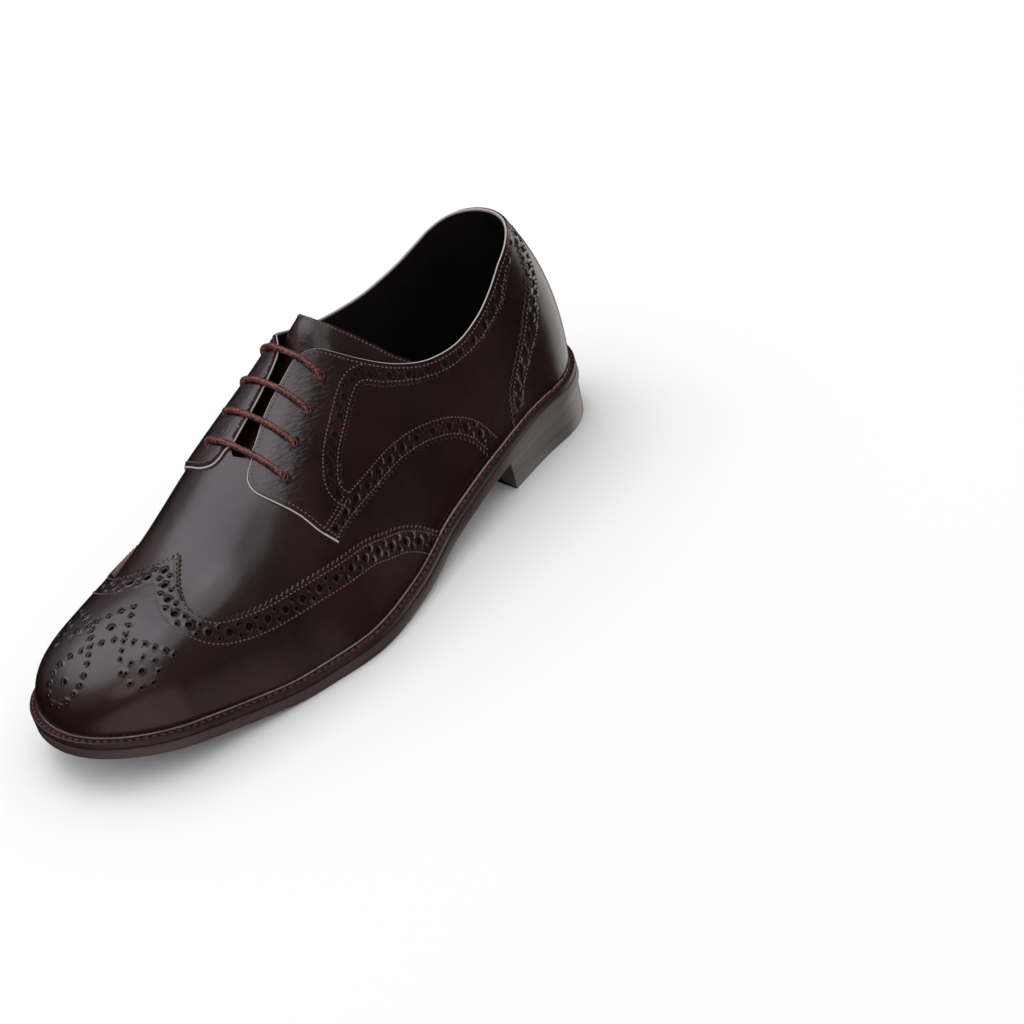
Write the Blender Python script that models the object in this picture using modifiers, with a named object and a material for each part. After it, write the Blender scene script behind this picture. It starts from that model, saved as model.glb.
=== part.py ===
"""Wingtip derby, left shoe, modelled the way it is made: outsole, welt, heel, insole, a lasted upper with
its overlays, a tongue and a round lace. Metres. The toe points along +X, the lateral side is +Y, and the
shoe stands on its heel and on the flat spot under the ball at Z = 0."""

import bmesh
import bpy
import numpy as np
from math import pi
from mathutils import Vector

# Sole and heel
SOLE_LENGTH = 0.302
BALL_BREADTH = 0.109
HEEL_BREADTH = 0.0676
HEEL_HEIGHT = 0.018
HEEL_BREAST = 0.070
BREAST_HOLLOW = 0.0025
HEEL_STEP = 0.0012
HEEL_TAPER = 0.0015
TOE_SPRING = 0.015
OUTSOLE_THICKNESS = 0.0052
WELT_THICKNESS = 0.0032
WELT_UNDER_INSOLE = 0.0075
EDGE_CHAMFER = 0.0007
INSOLE_THICKNESS = 0.0028
INSOLE_CLEARANCE = 0.0008

# Last
INSTEP_HEIGHT = 0.081
COLLAR_HEIGHT = 0.074
FOREPART_MARGIN = 0.0053
SEAT_MARGIN = 0.0040
HEEL_AXIS = 0.11 * SOLE_LENGTH
TOE_START = 0.865 * SOLE_LENGTH
TOP_START = 0.80 * SOLE_LENGTH
MARGIN_RUN = 0.45 * SOLE_LENGTH
TOE_SKEW = -0.037 * BALL_BREADTH
TOE_ROUND = 2.0
TOP_ROUND = 2.12
HEEL_SWELL = 1.0
HEEL_CURVE_IN = 2.4

# Leather, lace and clearances
WALL = 0.0020
OVERLAY = 0.0012
TONGUE_THICKNESS = 0.0016
LACE_DIAMETER = 0.0030
EYELET_DIAMETER = 0.0044
GAP = 0.0003
SEAT_GAP = 0.0006
FIT_GAP = 0.0005
SEAM_GAP = 0.0006
LACE_CLEARANCE = 0.0007
# The medial facing's front corner lies nearer the ridge: no shift up to the first share, all of it at the
# second
FACING_CORNER = (0.70, 0.88)
# The lace's hidden run back to the ankle lies this share of the way down from the eyelets
HIDDEN_RUN_DROP = 0.06
# Where a bar leaves its eyelet, and how far it has crossed the facing, as shares of the way to the throat
BAR_MARKS = (0.12, 0.5, 0.85)
# How much of the drift between a bar's two eyelets it makes before the throat
BAR_DRIFT = 0.4

# The last's sections, heel to toe. along: share of SOLE_LENGTH. spread: 0 at the heel's breadth, 1 at the
# ball's. lateral: share of the breadth on the lateral side. arch and spring: the outsole's underside, as
# shares of HEEL_HEIGHT and TOE_SPRING. ridge: height over the feather line, share of INSTEP_HEIGHT.
# lean: how far the ridge lies to the lateral side, share of BALL_BREADTH. bulge and crown: how full the
# section is at its side and at its top.
SECTIONS = (
    # along spread lateral arch   spring ridge  lean    bulge  crown
    (0.110, 0.00, 0.500, 1.000, 0.00, 1.457, 0.000, -0.20, 0.00),
    (0.250, 0.07, 0.565, 0.820, 0.00, 1.320, -0.073, 0.00, 0.02),
    (0.360, 0.19, 0.597, 0.500, 0.00, 1.154, -0.180, 0.12, 0.05),
    (0.480, 0.62, 0.595, 0.095, 0.00, 1.000, -0.165, 0.26, 0.09),
    (0.610, 1.00, 0.571, 0.000, 0.00, 0.805, -0.095, 0.33, 0.10),
    (0.700, 0.98, 0.527, 0.000, 0.00, 0.636, -0.032, 0.31, 0.10),
    (0.800, 0.78, 0.498, 0.000, 0.29, 0.500, 0.023, 0.28, 0.10),
    (0.900, 0.55, 0.478, 0.000, 0.71, 0.401, 0.060, 0.27, 0.10),
    (1.000, 0.44, 0.477, 0.000, 1.00, 0.333, 0.070, 0.27, 0.10),
)

# The collar. along: share of SOLE_LENGTH, measured round the heel from its back. lateral and medial:
# height over the feather line, share of COLLAR_HEIGHT.
TOPLINE = (
    # along lateral medial
    (0.000, 1.000, 1.000),
    (0.060, 0.985, 0.985),
    (0.100, 0.920, 0.945),
    (0.140, 0.805, 0.905),
    (0.180, 0.730, 0.880),
    (0.230, 0.700, 0.875),
    (0.280, 0.735, 0.895),
    (0.330, 0.845, 0.940),
    (0.370, 0.995, 1.025),
    (0.400, 1.130, 1.120),
)

# The throat between the facings. along: share of SOLE_LENGTH. lateral and medial: share of the way up
# from the feather line to the ridge.
THROAT = (
    # along lateral medial
    (0.412, 0.830, 0.850),
    (0.424, 0.895, 0.945),
    (0.450, 0.915, 0.972),
    (0.500, 0.927, 0.984),
    (0.550, 0.907, 0.972),
    (0.575, 0.890, 0.965),
    (0.586, 0.925, 0.980),
    (0.592, 1.000, 1.000),
)

# Edges of the overlays, as (along, up): share of SOLE_LENGTH, and share of the way from feather to ridge.
WING_EDGE = (
    (0.402, 0.000),
    (0.430, 0.075),
    (0.463, 0.142),
    (0.499, 0.192),
    (0.538, 0.247),
    (0.618, 0.331),
    (0.683, 0.408),
    (0.742, 0.500),
    (0.772, 0.572),
    (0.783, 0.660),
    (0.783, 0.758),
    (0.765, 0.869),
    (0.745, 0.940),
    (0.722, 1.000),
)
FACING_FRONT = (
    (0.586, 0.880),
    (0.600, 0.860),
    (0.607, 0.810),
    (0.606, 0.747),
    (0.601, 0.667),
    (0.592, 0.553),
    (0.584, 0.436),
    (0.570, 0.336),
)
QUARTER_FOOT = (
    (0.534, 0.326),
    (0.484, 0.297),
    (0.432, 0.264),
    (0.383, 0.222),
    (0.341, 0.180),
    (0.309, 0.139),
    (0.281, 0.081),
    (0.261, 0.000),
)
COUNTER_EDGE = (
    (0.054, 0.420),
    (0.066, 0.385),
    (0.080, 0.322),
    (0.087, 0.286),
    (0.102, 0.240),
    (0.125, 0.180),
    (0.156, 0.130),
    (0.184, 0.080),
    (0.199, 0.000),
)
TONGUE_EDGE = (
    (0.380, 1.000),
    (0.376, 0.880),
    (0.360, 0.690),
    (0.345, 0.560),
    (0.385, 0.540),
    (0.480, 0.560),
    (0.560, 0.620),
    (0.620, 0.720),
    (0.630, 1.000),
)
# Where the tongue starts to dip under the facings, and the run of the dip, as shares of SOLE_LENGTH
TONGUE_DIP = (0.618, 0.034)
EYELETS = (
    # along lateral medial
    (0.430, 0.725, 0.750),
    (0.478, 0.725, 0.745),
    (0.526, 0.725, 0.760),
    (0.571, 0.705, 0.760),
)

# How finely the surfaces follow the last
REAR_STEPS = 6
SIDE_STEPS = 19
TOE_STEPS = 8
UP_STEPS = 11
EDGE_STEPS = 3
LACE_STEPS = 2
PUNCH_SIDES = 12
SHARP_ANGLE = 0.6
MERGE_DISTANCE = 2e-5
CUT_DISTANCE = 1e-6
# Steps along and up the form for its normal, and the rounds that settle the collar's height on the form
PROBE_ALONG = 1e-4 * SOLE_LENGTH
PROBE_UP = 0.002
COLLAR_ROUNDS = 12

LATERAL, MEDIAL = 1, -1


def smooth_column(along, values):
    """A cubic through the table's values that never overshoots them and starts level."""
    step = np.diff(along)
    slope = np.diff(values) / step
    tangent = np.zeros(len(values))
    for i in range(1, len(values) - 1):
        if slope[i - 1] * slope[i] > 0:
            before = 2 * step[i] + step[i - 1]
            after = step[i] + 2 * step[i - 1]
            tangent[i] = (before + after) / (before / slope[i - 1] + after / slope[i])
    tangent[-1] = slope[-1]

    def at(x):
        x = np.clip(x, along[0], along[-1])
        i = np.clip(np.searchsorted(along, x, side="right") - 1, 0, len(step) - 1)
        t = (x - along[i]) / step[i]
        ends = (1 + 2 * t) * (1 - t) ** 2 * values[i] + t * t * (3 - 2 * t) * values[i + 1]
        return ends + step[i] * t * (1 - t) * ((1 - t) * tangent[i] - t * tangent[i + 1])

    return at


def columns(table, scales):
    """One smooth column for each scale, over the table's first column in metres."""
    rows = np.array(table, dtype=float)
    along = rows[:, 0] * SOLE_LENGTH
    return [smooth_column(along, rows[:, i + 1] * scale) for i, scale in enumerate(scales)]


SPREAD, LATERAL_SHARE, ARCH, SPRING, RIDGE, LEAN, BULGE, CROWN = columns(
    SECTIONS, (1, 1, HEEL_HEIGHT, TOE_SPRING, INSTEP_HEIGHT, BALL_BREADTH, 1, 1)
)
COLLAR = dict(zip((LATERAL, MEDIAL), columns(TOPLINE, (COLLAR_HEIGHT, COLLAR_HEIGHT))))
THROAT_UP = dict(zip((LATERAL, MEDIAL), columns(THROAT, (1, 1))))


def underside(x):
    """Height of the outsole's underside over the floor."""
    return ARCH(x) + SPRING(x)


def welt_top(x):
    return underside(x) + OUTSOLE_THICKNESS + GAP + WELT_THICKNESS


def closing(x, start, end, power):
    """1 up to start, then round to 0 at end."""
    share = np.clip((x - start) / (end - start), 0, 1)
    return np.sqrt(np.clip(1 - share**power, 0, 1))


def margin(x):
    """How far the feather line lies inside the sole's edge."""
    share = np.clip((x - HEEL_AXIS) / MARGIN_RUN, 0, 1)
    return SEAT_MARGIN + (FOREPART_MARGIN - SEAT_MARGIN) * share


def sole_edge(x, side, inset):
    """Y of the sole's edge ahead of the heel's axis, pulled in by inset."""
    breadth = HEEL_BREADTH + (BALL_BREADTH - HEEL_BREADTH) * SPREAD(x)
    share = LATERAL_SHARE(x) if side == LATERAL else 1 - LATERAL_SHARE(x)
    end = SOLE_LENGTH - inset
    drift = np.clip((x - TOE_START) / (end - TOE_START), 0, 1)
    half = (breadth * share - inset) * closing(x, TOE_START, end, TOE_ROUND)
    return TOE_SKEW * drift**2 * (3 - 2 * drift) + side * half


def last(u, w, side, lift=0.0):
    """A point of the upper's outer form. u runs from the heel's back, round it and along to the toe. w goes
    from 0 at the feather line to 1 at the ridge. lift moves the whole form out."""
    x = max(u, HEEL_AXIS)
    if x > TOE_START:
        reach = SOLE_LENGTH - FOREPART_MARGIN - TOE_START
        x += lift * (x - TOE_START) / reach
    inset = margin(x) - lift
    angle = w * pi / 2
    rise = np.sin(angle) * (1 + CROWN(x) * np.cos(angle) ** 2)
    top = closing(x, TOP_START, SOLE_LENGTH - FOREPART_MARGIN + lift, TOP_ROUND)
    high = sole_edge(x, LATERAL, inset)
    low = sole_edge(x, MEDIAL, inset)
    middle = (high + low) / 2 + LEAN(x) * top * rise
    half = (high - low) / 2 * np.cos(angle) * (1 + BULGE(x) * np.sin(angle) ** 2)
    height = welt_top(x) + SEAT_GAP + (RIDGE(x) + lift) * top * rise
    if u >= HEEL_AXIS:
        return np.array([x, middle + side * half, height])
    turn = u / HEEL_AXIS * pi / 2
    reach = (HEEL_AXIS - SEAT_MARGIN) * (1 + HEEL_SWELL * rise - HEEL_CURVE_IN * rise**2) + lift
    return np.array([HEEL_AXIS - reach * np.cos(turn), middle + side * half * np.sin(turn), height])


def outward(u, w, side):
    """The form's normal, pointing away from the foot."""
    along = last(u + PROBE_ALONG, w, side) - last(u - PROBE_ALONG, w, side)
    up = last(u, w + PROBE_UP, side) - last(u, w - PROBE_UP, side)
    normal = np.cross(up, along) * side
    return normal / np.linalg.norm(normal)


def top_edge(u, side):
    """Share of the way up at which the upper ends: the collar, the throat, or the ridge ahead of it."""
    if u >= THROAT[-1][0] * SOLE_LENGTH:
        return 1.0
    if u >= THROAT[0][0] * SOLE_LENGTH:
        return float(THROAT_UP[side](u))
    x = max(u, HEEL_AXIS)
    angle = 0.0
    for _ in range(COLLAR_ROUNDS):
        full = RIDGE(x) * (1 + CROWN(x) * np.cos(angle) ** 2)
        angle = np.arcsin(min(COLLAR[side](u) / full, 1.0))
    collar = angle / (pi / 2)
    join = TOPLINE[-1][0] * SOLE_LENGTH
    if u <= join:
        return float(collar)
    share = (u - join) / (THROAT[0][0] * SOLE_LENGTH - join)
    return float(collar * (1 - share) + THROAT[0][1 if side == LATERAL else 2] * share)


def along_stations():
    """u of the grid lines: round the heel, along the side, and closer together round the toe."""
    rear = [HEEL_AXIS * i / REAR_STEPS for i in range(REAR_STEPS)]
    side = [HEEL_AXIS + (TOE_START - HEEL_AXIS) * i / SIDE_STEPS for i in range(SIDE_STEPS)]
    reach = SOLE_LENGTH - FOREPART_MARGIN - TOE_START
    toe = [TOE_START + reach * np.sin(pi / 2 * i / TOE_STEPS) for i in range(TOE_STEPS + 1)]
    return rear + side + toe


def top_outline(side, ends_at):
    """The upper's top edge as (u, w) points, from the heel's back to u = ends_at."""
    marks = [s for s in along_stations() if s < TOPLINE[-1][0] * SOLE_LENGTH]
    marks += [row[0] * SOLE_LENGTH for row in (TOPLINE[-1],) + THROAT]
    return [(u, top_edge(u, side)) for u in marks if u < ends_at]


def smooth_run(points, steps):
    """A smooth curve through the points, with this many steps from each to the next."""
    points = np.array(points)
    padded = np.vstack([points[:1], points, points[-1:]])
    run = []
    for before, start, end, after in zip(padded, padded[1:], padded[2:], padded[3:]):
        leaving = (end - before) / 2
        arriving = (after - start) / 2
        for i in range(steps):
            t = i / steps
            blend = t * t * (3 - 2 * t)
            slopes = t * (1 - t) ** 2 * leaving - t * t * (1 - t) * arriving
            run.append(start + (end - start) * blend + slopes)
    return run + [points[-1]]


def rounded(points):
    """A smooth run through an edge's hand-set points, in metres along and shares up."""
    run = smooth_run([(a * SOLE_LENGTH, w) for a, w in points], EDGE_STEPS)
    return [(float(u), float(np.clip(w, 0, 1))) for u, w in run]


def material(name, colour, roughness):
    made = bpy.data.materials.new(name)
    made.use_nodes = True
    shader = made.node_tree.nodes["Principled BSDF"]
    shader.inputs["Base Color"].default_value = (*colour, 1)
    shader.inputs["Roughness"].default_value = roughness
    shader.inputs["Metallic"].default_value = 0.0
    return made


def new_object(name, bm, finish, collection):
    mesh = bpy.data.meshes.new(name)
    bm.to_mesh(mesh)
    bm.free()
    mesh.shade_smooth()
    mesh.set_sharp_from_angle(angle=SHARP_ANGLE)
    made = bpy.data.objects.new(name, mesh)
    mesh.materials.append(finish)
    collection.objects.link(made)
    return made


def bent_panel(outlines, lift_at):
    """Flat outlines in (u, w), cut along the form's grid lines and laid on the form at their lift.
    outlines is a list of (side, points)."""
    whole = bmesh.new()
    for side, points in outlines:
        flat = bmesh.new()
        corners = [flat.verts.new((u, w, 0)) for u, w in points]
        face = flat.faces.new(corners)
        face.normal_update()
        # Seen from outside, u and w turn the other way on the lateral side.
        if (face.normal.z > 0) == (side == LATERAL):
            face.normal_flip()
        lines = [((u, 0, 0), (1, 0, 0)) for u in along_stations()[1:-1]]
        lines += [((0, i / UP_STEPS, 0), (0, 1, 0)) for i in range(1, UP_STEPS)]
        for place, normal in lines:
            everything = flat.verts[:] + flat.edges[:] + flat.faces[:]
            bmesh.ops.bisect_plane(flat, geom=everything, plane_co=place, plane_no=normal, dist=CUT_DISTANCE)
        bmesh.ops.dissolve_degenerate(flat, edges=flat.edges[:], dist=CUT_DISTANCE)
        for vert in flat.verts:
            u, w = vert.co.x, vert.co.y
            vert.co = Vector(last(u, w, side, lift_at(u, w)))
        keep = bpy.data.meshes.new("half")
        flat.to_mesh(keep)
        flat.free()
        whole.from_mesh(keep)
        bpy.data.meshes.remove(keep)
    bmesh.ops.remove_doubles(whole, verts=whole.verts[:], dist=MERGE_DISTANCE)
    return whole


def thicken(made, thickness, outwards):
    shell = made.modifiers.new("thickness", "SOLIDIFY")
    shell.thickness = thickness
    shell.offset = 1.0 if outwards else -1.0
    shell.use_even_offset = True
    shell.use_quality_normals = True
    return shell


def outline(inset, end=None):
    """The sole's outline pulled in by inset, as matching lateral and medial runs from heel back to toe,
    or to a straight end."""
    rear = [HEEL_AXIS - (HEEL_AXIS - inset) * np.cos(pi / 2 * i / REAR_STEPS) for i in range(REAR_STEPS)]
    if end is None:
        side = [HEEL_AXIS + (TOE_START - HEEL_AXIS) * i / SIDE_STEPS for i in range(SIDE_STEPS)]
        reach = SOLE_LENGTH - inset - TOE_START
        front = [TOE_START + reach * np.sin(pi / 2 * i / TOE_STEPS) for i in range(TOE_STEPS + 1)]
    else:
        side = [HEEL_AXIS + (end - HEEL_AXIS) * i / EDGE_STEPS for i in range(EDGE_STEPS)]
        front = [end]
    runs = []
    for which in (LATERAL, MEDIAL):
        half = sole_edge(HEEL_AXIS, which, inset)
        run = [(x, half * np.sin(pi / 2 * i / REAR_STEPS)) for i, x in enumerate(rear)]
        run += [(x, float(sole_edge(x, which, inset))) for x in side + front]
        runs.append(run)
    return runs


def loop_points(inset, height_at, end=None, hollow=0.0):
    """One closed loop of 3-D points round the outline, with its straight end hollowed if asked."""
    lateral, medial = outline(inset, end)
    across = []
    if end is not None:
        for i in range(1, UP_STEPS):
            share = i / UP_STEPS
            y = lateral[-1][1] * (1 - share) + medial[-1][1] * share
            across.append((end - hollow * 4 * share * (1 - share), y))
    else:
        medial = medial[:-1]
    points = lateral + across + medial[:0:-1]
    return [Vector((x, y, height_at(x))) for x, y in points]


def close_with_rungs(bm, row):
    """Flat rungs across a loop that mirrors itself from its first point to the one half way round."""
    half = len(row) // 2
    for i in range(half):
        corners = (row[i], row[i + 1], row[-i - 1], row[-i] if i else row[0])
        bm.faces.new(list(dict.fromkeys(corners)))


def stacked(loops, ring=False, rungs=False):
    """A closed solid from matching loops, lowest first. A ring joins its last loop to its first."""
    bm = bmesh.new()
    rows = [[bm.verts.new(p) for p in loop] for loop in loops]
    count = len(rows[0])
    pairs = list(zip(rows, rows[1:] + rows[:1] if ring else rows[1:]))
    for low, high in pairs:
        for i in range(count):
            j = (i + 1) % count
            bm.faces.new((low[i], low[j], high[j], high[i]))
    if rungs:
        close_with_rungs(bm, rows[0])
        close_with_rungs(bm, rows[-1])
    elif not ring:
        bm.faces.new(rows[0][::-1])
        bm.faces.new(rows[-1])
    bmesh.ops.triangulate(bm, faces=[f for f in bm.faces if len(f.verts) > 4])
    bmesh.ops.recalc_face_normals(bm, faces=bm.faces[:])
    return bm


def outsole_top(x):
    return underside(x) + OUTSOLE_THICKNESS


def make_outsole(finish, collection):
    levels = ((EDGE_CHAMFER, 0.0), (0.0, EDGE_CHAMFER), (0.0, OUTSOLE_THICKNESS - EDGE_CHAMFER))
    levels += ((EDGE_CHAMFER, OUTSOLE_THICKNESS),)
    loops = [loop_points(inset, lambda x, rise=rise: underside(x) + rise) for inset, rise in levels]
    return new_object("outsole", stacked(loops, rungs=True), finish, collection)


def make_welt(finish, collection):
    inner = FOREPART_MARGIN + WALL + WELT_UNDER_INSOLE
    low = outsole_top
    levels = ((inner, GAP), (EDGE_CHAMFER, GAP), (0.0, GAP + EDGE_CHAMFER))
    levels += ((0.0, GAP + WELT_THICKNESS - EDGE_CHAMFER), (EDGE_CHAMFER, GAP + WELT_THICKNESS))
    levels += ((inner, GAP + WELT_THICKNESS),)
    loops = [loop_points(inset, lambda x, rise=rise: low(x) + rise) for inset, rise in levels]
    return new_object("welt", stacked(loops, ring=True), finish, collection)


def make_heel(finish, collection):
    ground = loop_points(HEEL_STEP + HEEL_TAPER, lambda x: 0.0, HEEL_BREAST, BREAST_HOLLOW)
    seat = loop_points(HEEL_STEP, lambda x: underside(x) - GAP, HEEL_BREAST, BREAST_HOLLOW)
    return new_object("heel", stacked([ground, seat]), finish, collection)


def make_insole(finish, collection):
    inset = FOREPART_MARGIN + WALL + INSOLE_CLEARANCE
    levels = (SEAT_GAP, SEAT_GAP + INSOLE_THICKNESS)
    loops = [loop_points(inset, lambda x, rise=rise: welt_top(x) + rise) for rise in levels]
    return new_object("insole", stacked(loops, rungs=True), finish, collection)


def side_of_upper(side):
    """The upper's own outline on one side: feather line, back seam, top edge and ridge."""
    feather = [(u, 0.0) for u in along_stations()]
    back = [(0.0, i / UP_STEPS) for i in range(1, UP_STEPS) if i / UP_STEPS < top_edge(0.0, side)]
    top = top_outline(side, THROAT[-1][0] * SOLE_LENGTH)
    ridge = [(THROAT[-1][0] * SOLE_LENGTH, 1.0)]
    ridge += [(u, 1.0) for u in along_stations() if u > THROAT[-1][0] * SOLE_LENGTH]
    return feather + ridge[::-1] + top[::-1] + back[::-1]


def make_upper(finish, collection):
    halves = [(side, side_of_upper(side)) for side in (LATERAL, MEDIAL)]
    made = new_object("upper", bent_panel(halves, lambda u, w: 0.0), finish, collection)
    thicken(made, WALL, outwards=False)
    return made


def make_overlay(name, outlines, finish, collection):
    made = new_object(name, bent_panel(outlines, lambda u, w: FIT_GAP), finish, collection)
    thicken(made, OVERLAY, outwards=True)
    return made


def make_wing_cap(finish, collection):
    ahead = [u for u in along_stations() if u > WING_EDGE[0][0] * SOLE_LENGTH]
    halves = []
    for side in (LATERAL, MEDIAL):
        ridge = [u for u in along_stations() if u > WING_EDGE[-1][0] * SOLE_LENGTH]
        points = [(u, 0.0) for u in ahead] + [(u, 1.0) for u in ridge[::-1]] + rounded(WING_EDGE)[::-1]
        halves.append((side, points))
    return make_overlay("wing_cap", halves, finish, collection)


def counter_line(side, shift):
    """The counter's front edge from the collar down, moved forward by shift."""
    edge = [(u + shift, w) for u, w in rounded(COUNTER_EDGE)]
    start = edge[0][0]
    below = [(u, w) for u, w in edge[1:] if w < top_edge(u, side) - PROBE_UP]
    return [(start, top_edge(start, side))] + below


def make_quarter(name, side, finish, collection):
    counter = counter_line(side, SEAM_GAP)
    start = counter[0][0]
    throat_end = FACING_FRONT[0][0] * SOLE_LENGTH
    top = [(u, w) for u, w in top_outline(side, throat_end - PROBE_ALONG) if u > start]
    front = rounded(FACING_FRONT)
    if side == MEDIAL:
        low, high = FACING_CORNER
        shift = float(THROAT_UP[MEDIAL](throat_end) - THROAT_UP[LATERAL](throat_end))
        front = [(u, w + shift * max(0.0, (w - low) / (high - low))) for u, w in front]
    foot = rounded(QUARTER_FOOT)
    seat = [(u, 0.0) for u in along_stations()[::-1] if counter[-1][0] < u < foot[-1][0]]
    points = top + front + foot + seat + counter[::-1]
    return make_overlay(name, [(side, points)], finish, collection)


def make_counter(finish, collection):
    halves = []
    for side in (LATERAL, MEDIAL):
        edge = counter_line(side, 0.0)
        top = top_outline(side, edge[0][0])
        seat = [(u, 0.0) for u in along_stations()[::-1] if u < edge[-1][0]]
        back = [(0.0, i / UP_STEPS) for i in range(1, UP_STEPS) if i / UP_STEPS < top_edge(0.0, side)]
        points = top + edge + seat + back
        halves.append((side, points))
    return make_overlay("heel_counter", halves, finish, collection)


def tongue_lift(u, w):
    """The tongue lies close under the vamp at its front and leaves room for the lace under the facings."""
    room = LACE_DIAMETER + 2 * LACE_CLEARANCE
    share = np.clip((TONGUE_DIP[0] * SOLE_LENGTH - u) / (TONGUE_DIP[1] * SOLE_LENGTH), 0, 1)
    return -(WALL + FIT_GAP + room * share**2 * (3 - 2 * share))


def make_tongue(finish, collection):
    ridge = [u for u in along_stations() if TONGUE_EDGE[0][0] < u / SOLE_LENGTH < TONGUE_EDGE[-1][0]]
    points = rounded(TONGUE_EDGE) + [(u, 1.0) for u in ridge[::-1]]
    halves = [(side, points) for side in (LATERAL, MEDIAL)]
    made = new_object("tongue", bent_panel(halves, tongue_lift), finish, collection)
    thicken(made, TONGUE_THICKNESS, outwards=False)
    return made


def eyelet_centres():
    """(u, w, side) of each eyelet, from the ankle down."""
    return [
        {side: (row[0] * SOLE_LENGTH, row[1 if side == LATERAL else 2]) for side in (LATERAL, MEDIAL)}
        for row in EYELETS
    ]


def punch_eyelets(made, collection):
    """Round holes square to the form, through the facing and the wall behind it."""
    for number, pair in enumerate(eyelet_centres(), 1):
        for side, (u, w) in pair.items():
            if made.name.startswith("quarter") and (side == LATERAL) != made.name.endswith("lateral"):
                continue
            normal = outward(u, w, side)
            bm = bmesh.new()
            bmesh.ops.create_cone(
                bm,
                cap_ends=True,
                segments=PUNCH_SIDES,
                radius1=EYELET_DIAMETER / 2,
                radius2=EYELET_DIAMETER / 2,
                depth=4 * (WALL + OVERLAY),
            )
            name = f"{made.name}_punch_{number}_{side + 1}"
            cutter = new_object(name, bm, made.data.materials[0], collection)
            cutter.location = Vector(last(u, w, side))
            cutter.rotation_mode = "QUATERNION"
            cutter.rotation_quaternion = Vector(normal).to_track_quat("Z", "Y")
            cutter.parent = made.parent
            cutter.hide_render = True
            cutter.display_type = "WIRE"
            hole = made.modifiers.new(f"eyelet {number}", "BOOLEAN")
            hole.operation = "DIFFERENCE"
            hole.object = cutter


def lace_route():
    """The strand's middle line: up and down through the eyelets, straight bars over the throat, and short
    runs under the facings. It starts at the top eyelet, and its other end runs back up there, hidden."""
    over = FIT_GAP + OVERLAY + LACE_CLEARANCE + LACE_DIAMETER / 2
    under = -(WALL + LACE_CLEARANCE + LACE_DIAMETER / 2)
    rising = (under, under / 2, 0.0, over / 2)
    side = MEDIAL
    route = []
    for pair in eyelet_centres():
        for which, heights in ((side, rising), (-side, rising[::-1])):
            u, w = pair[which]
            centre = last(u, w, which)
            normal = outward(u, w, which)
            if which != side:
                route += bar_over_throat(pair, side, over)
            route += [centre + normal * height for height in heights]
        side = -side
    for pair in eyelet_centres()[::-1]:
        u, w = pair[side]
        route.append(last(u, w - HIDDEN_RUN_DROP, side, under))
    return route


def bar_over_throat(pair, side, over):
    """The bar's points, from the eyelet on one side to the eyelet on the other, held off the facings."""
    (u0, w0), (u1, w1) = pair[side], pair[-side]
    points = []
    for share in BAR_MARKS:
        w = w0 + (top_edge(u0, side) - w0) * share
        points.append(last(u0 + (u1 - u0) * share * BAR_DRIFT, w, side, over))
    for share in BAR_MARKS[::-1]:
        w = w1 + (top_edge(u1, -side) - w1) * share
        points.append(last(u1 + (u0 - u1) * share * BAR_DRIFT, w, -side, over))
    return points


def make_lace(finish, collection):
    run = smooth_run(lace_route(), LACE_STEPS)
    curve = bpy.data.curves.new("lace", "CURVE")
    curve.dimensions = "3D"
    curve.bevel_depth = LACE_DIAMETER / 2
    curve.bevel_resolution = 2
    curve.use_fill_caps = True
    spline = curve.splines.new("POLY")
    spline.points.add(len(run) - 1)
    for point, place in zip(spline.points, run):
        point.co = (*place, 1)
    curve.materials.append(finish)
    made = bpy.data.objects.new("lace", curve)
    collection.objects.link(made)
    return made


def middle_of_box():
    """The middle of the shoe's bounding box on the floor: the sole's edge, and the counter's swell behind."""
    lateral, medial = outline(0.0)
    swell = 1 + HEEL_SWELL**2 / (4 * HEEL_CURVE_IN)
    counter_back = HEEL_AXIS - (HEEL_AXIS - SEAT_MARGIN) * swell - FIT_GAP - OVERLAY
    back = min(0.0, counter_back)
    high = max(y for _, y in lateral)
    low = min(y for _, y in medial)
    return Vector(((SOLE_LENGTH + back) / 2, (high + low) / 2, 0.0))


def main():
    for old in list(bpy.data.objects):
        bpy.data.objects.remove(old, do_unlink=True)
    shoe = bpy.data.collections.new("wingtip_shoe")
    cutters = bpy.data.collections.new("cutters")
    for collection in (shoe, cutters):
        bpy.context.scene.collection.children.link(collection)
    root = bpy.data.objects.new("shoe_origin", None)
    root.location = -middle_of_box()
    shoe.objects.link(root)

    leather = material("burgundy_calf", (0.035, 0.010, 0.008), 0.28)
    sole = material("brown_sole_leather", (0.065, 0.038, 0.030), 0.5)
    stack = material("dark_heel_stack", (0.030, 0.027, 0.026), 0.5)
    lining = material("black_lining", (0.008, 0.007, 0.007), 0.6)
    waxed = material("waxed_lace", (0.120, 0.030, 0.022), 0.6)

    upper = make_upper(leather, shoe)
    facings = [
        make_quarter("quarter_lateral", LATERAL, leather, shoe),
        make_quarter("quarter_medial", MEDIAL, leather, shoe),
    ]
    pieces = [
        make_outsole(sole, shoe),
        make_welt(sole, shoe),
        make_heel(stack, shoe),
        make_insole(lining, shoe),
        make_wing_cap(leather, shoe),
        make_counter(leather, shoe),
        make_tongue(leather, shoe),
        make_lace(waxed, shoe),
    ]
    for piece in [upper] + facings + pieces:
        piece.parent = root
    for piece in [upper] + facings:
        punch_eyelets(piece, cutters)


main()
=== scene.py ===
# %% [markdown]
# # A wingtip brogue, dressed from its solids
#
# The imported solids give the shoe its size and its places: outsole, welt, heel, insole, a hollow upper
# with its overlays, a tongue and a lace. This lesson builds what a shoemaker adds to them: panels with
# gimped edges and punched holes, rows of stitches, a rand, a lining, and leather that shines as polished
# calf does.
#
# The frame is loaded first, because every piece takes its place from it.

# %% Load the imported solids
import math

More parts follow.
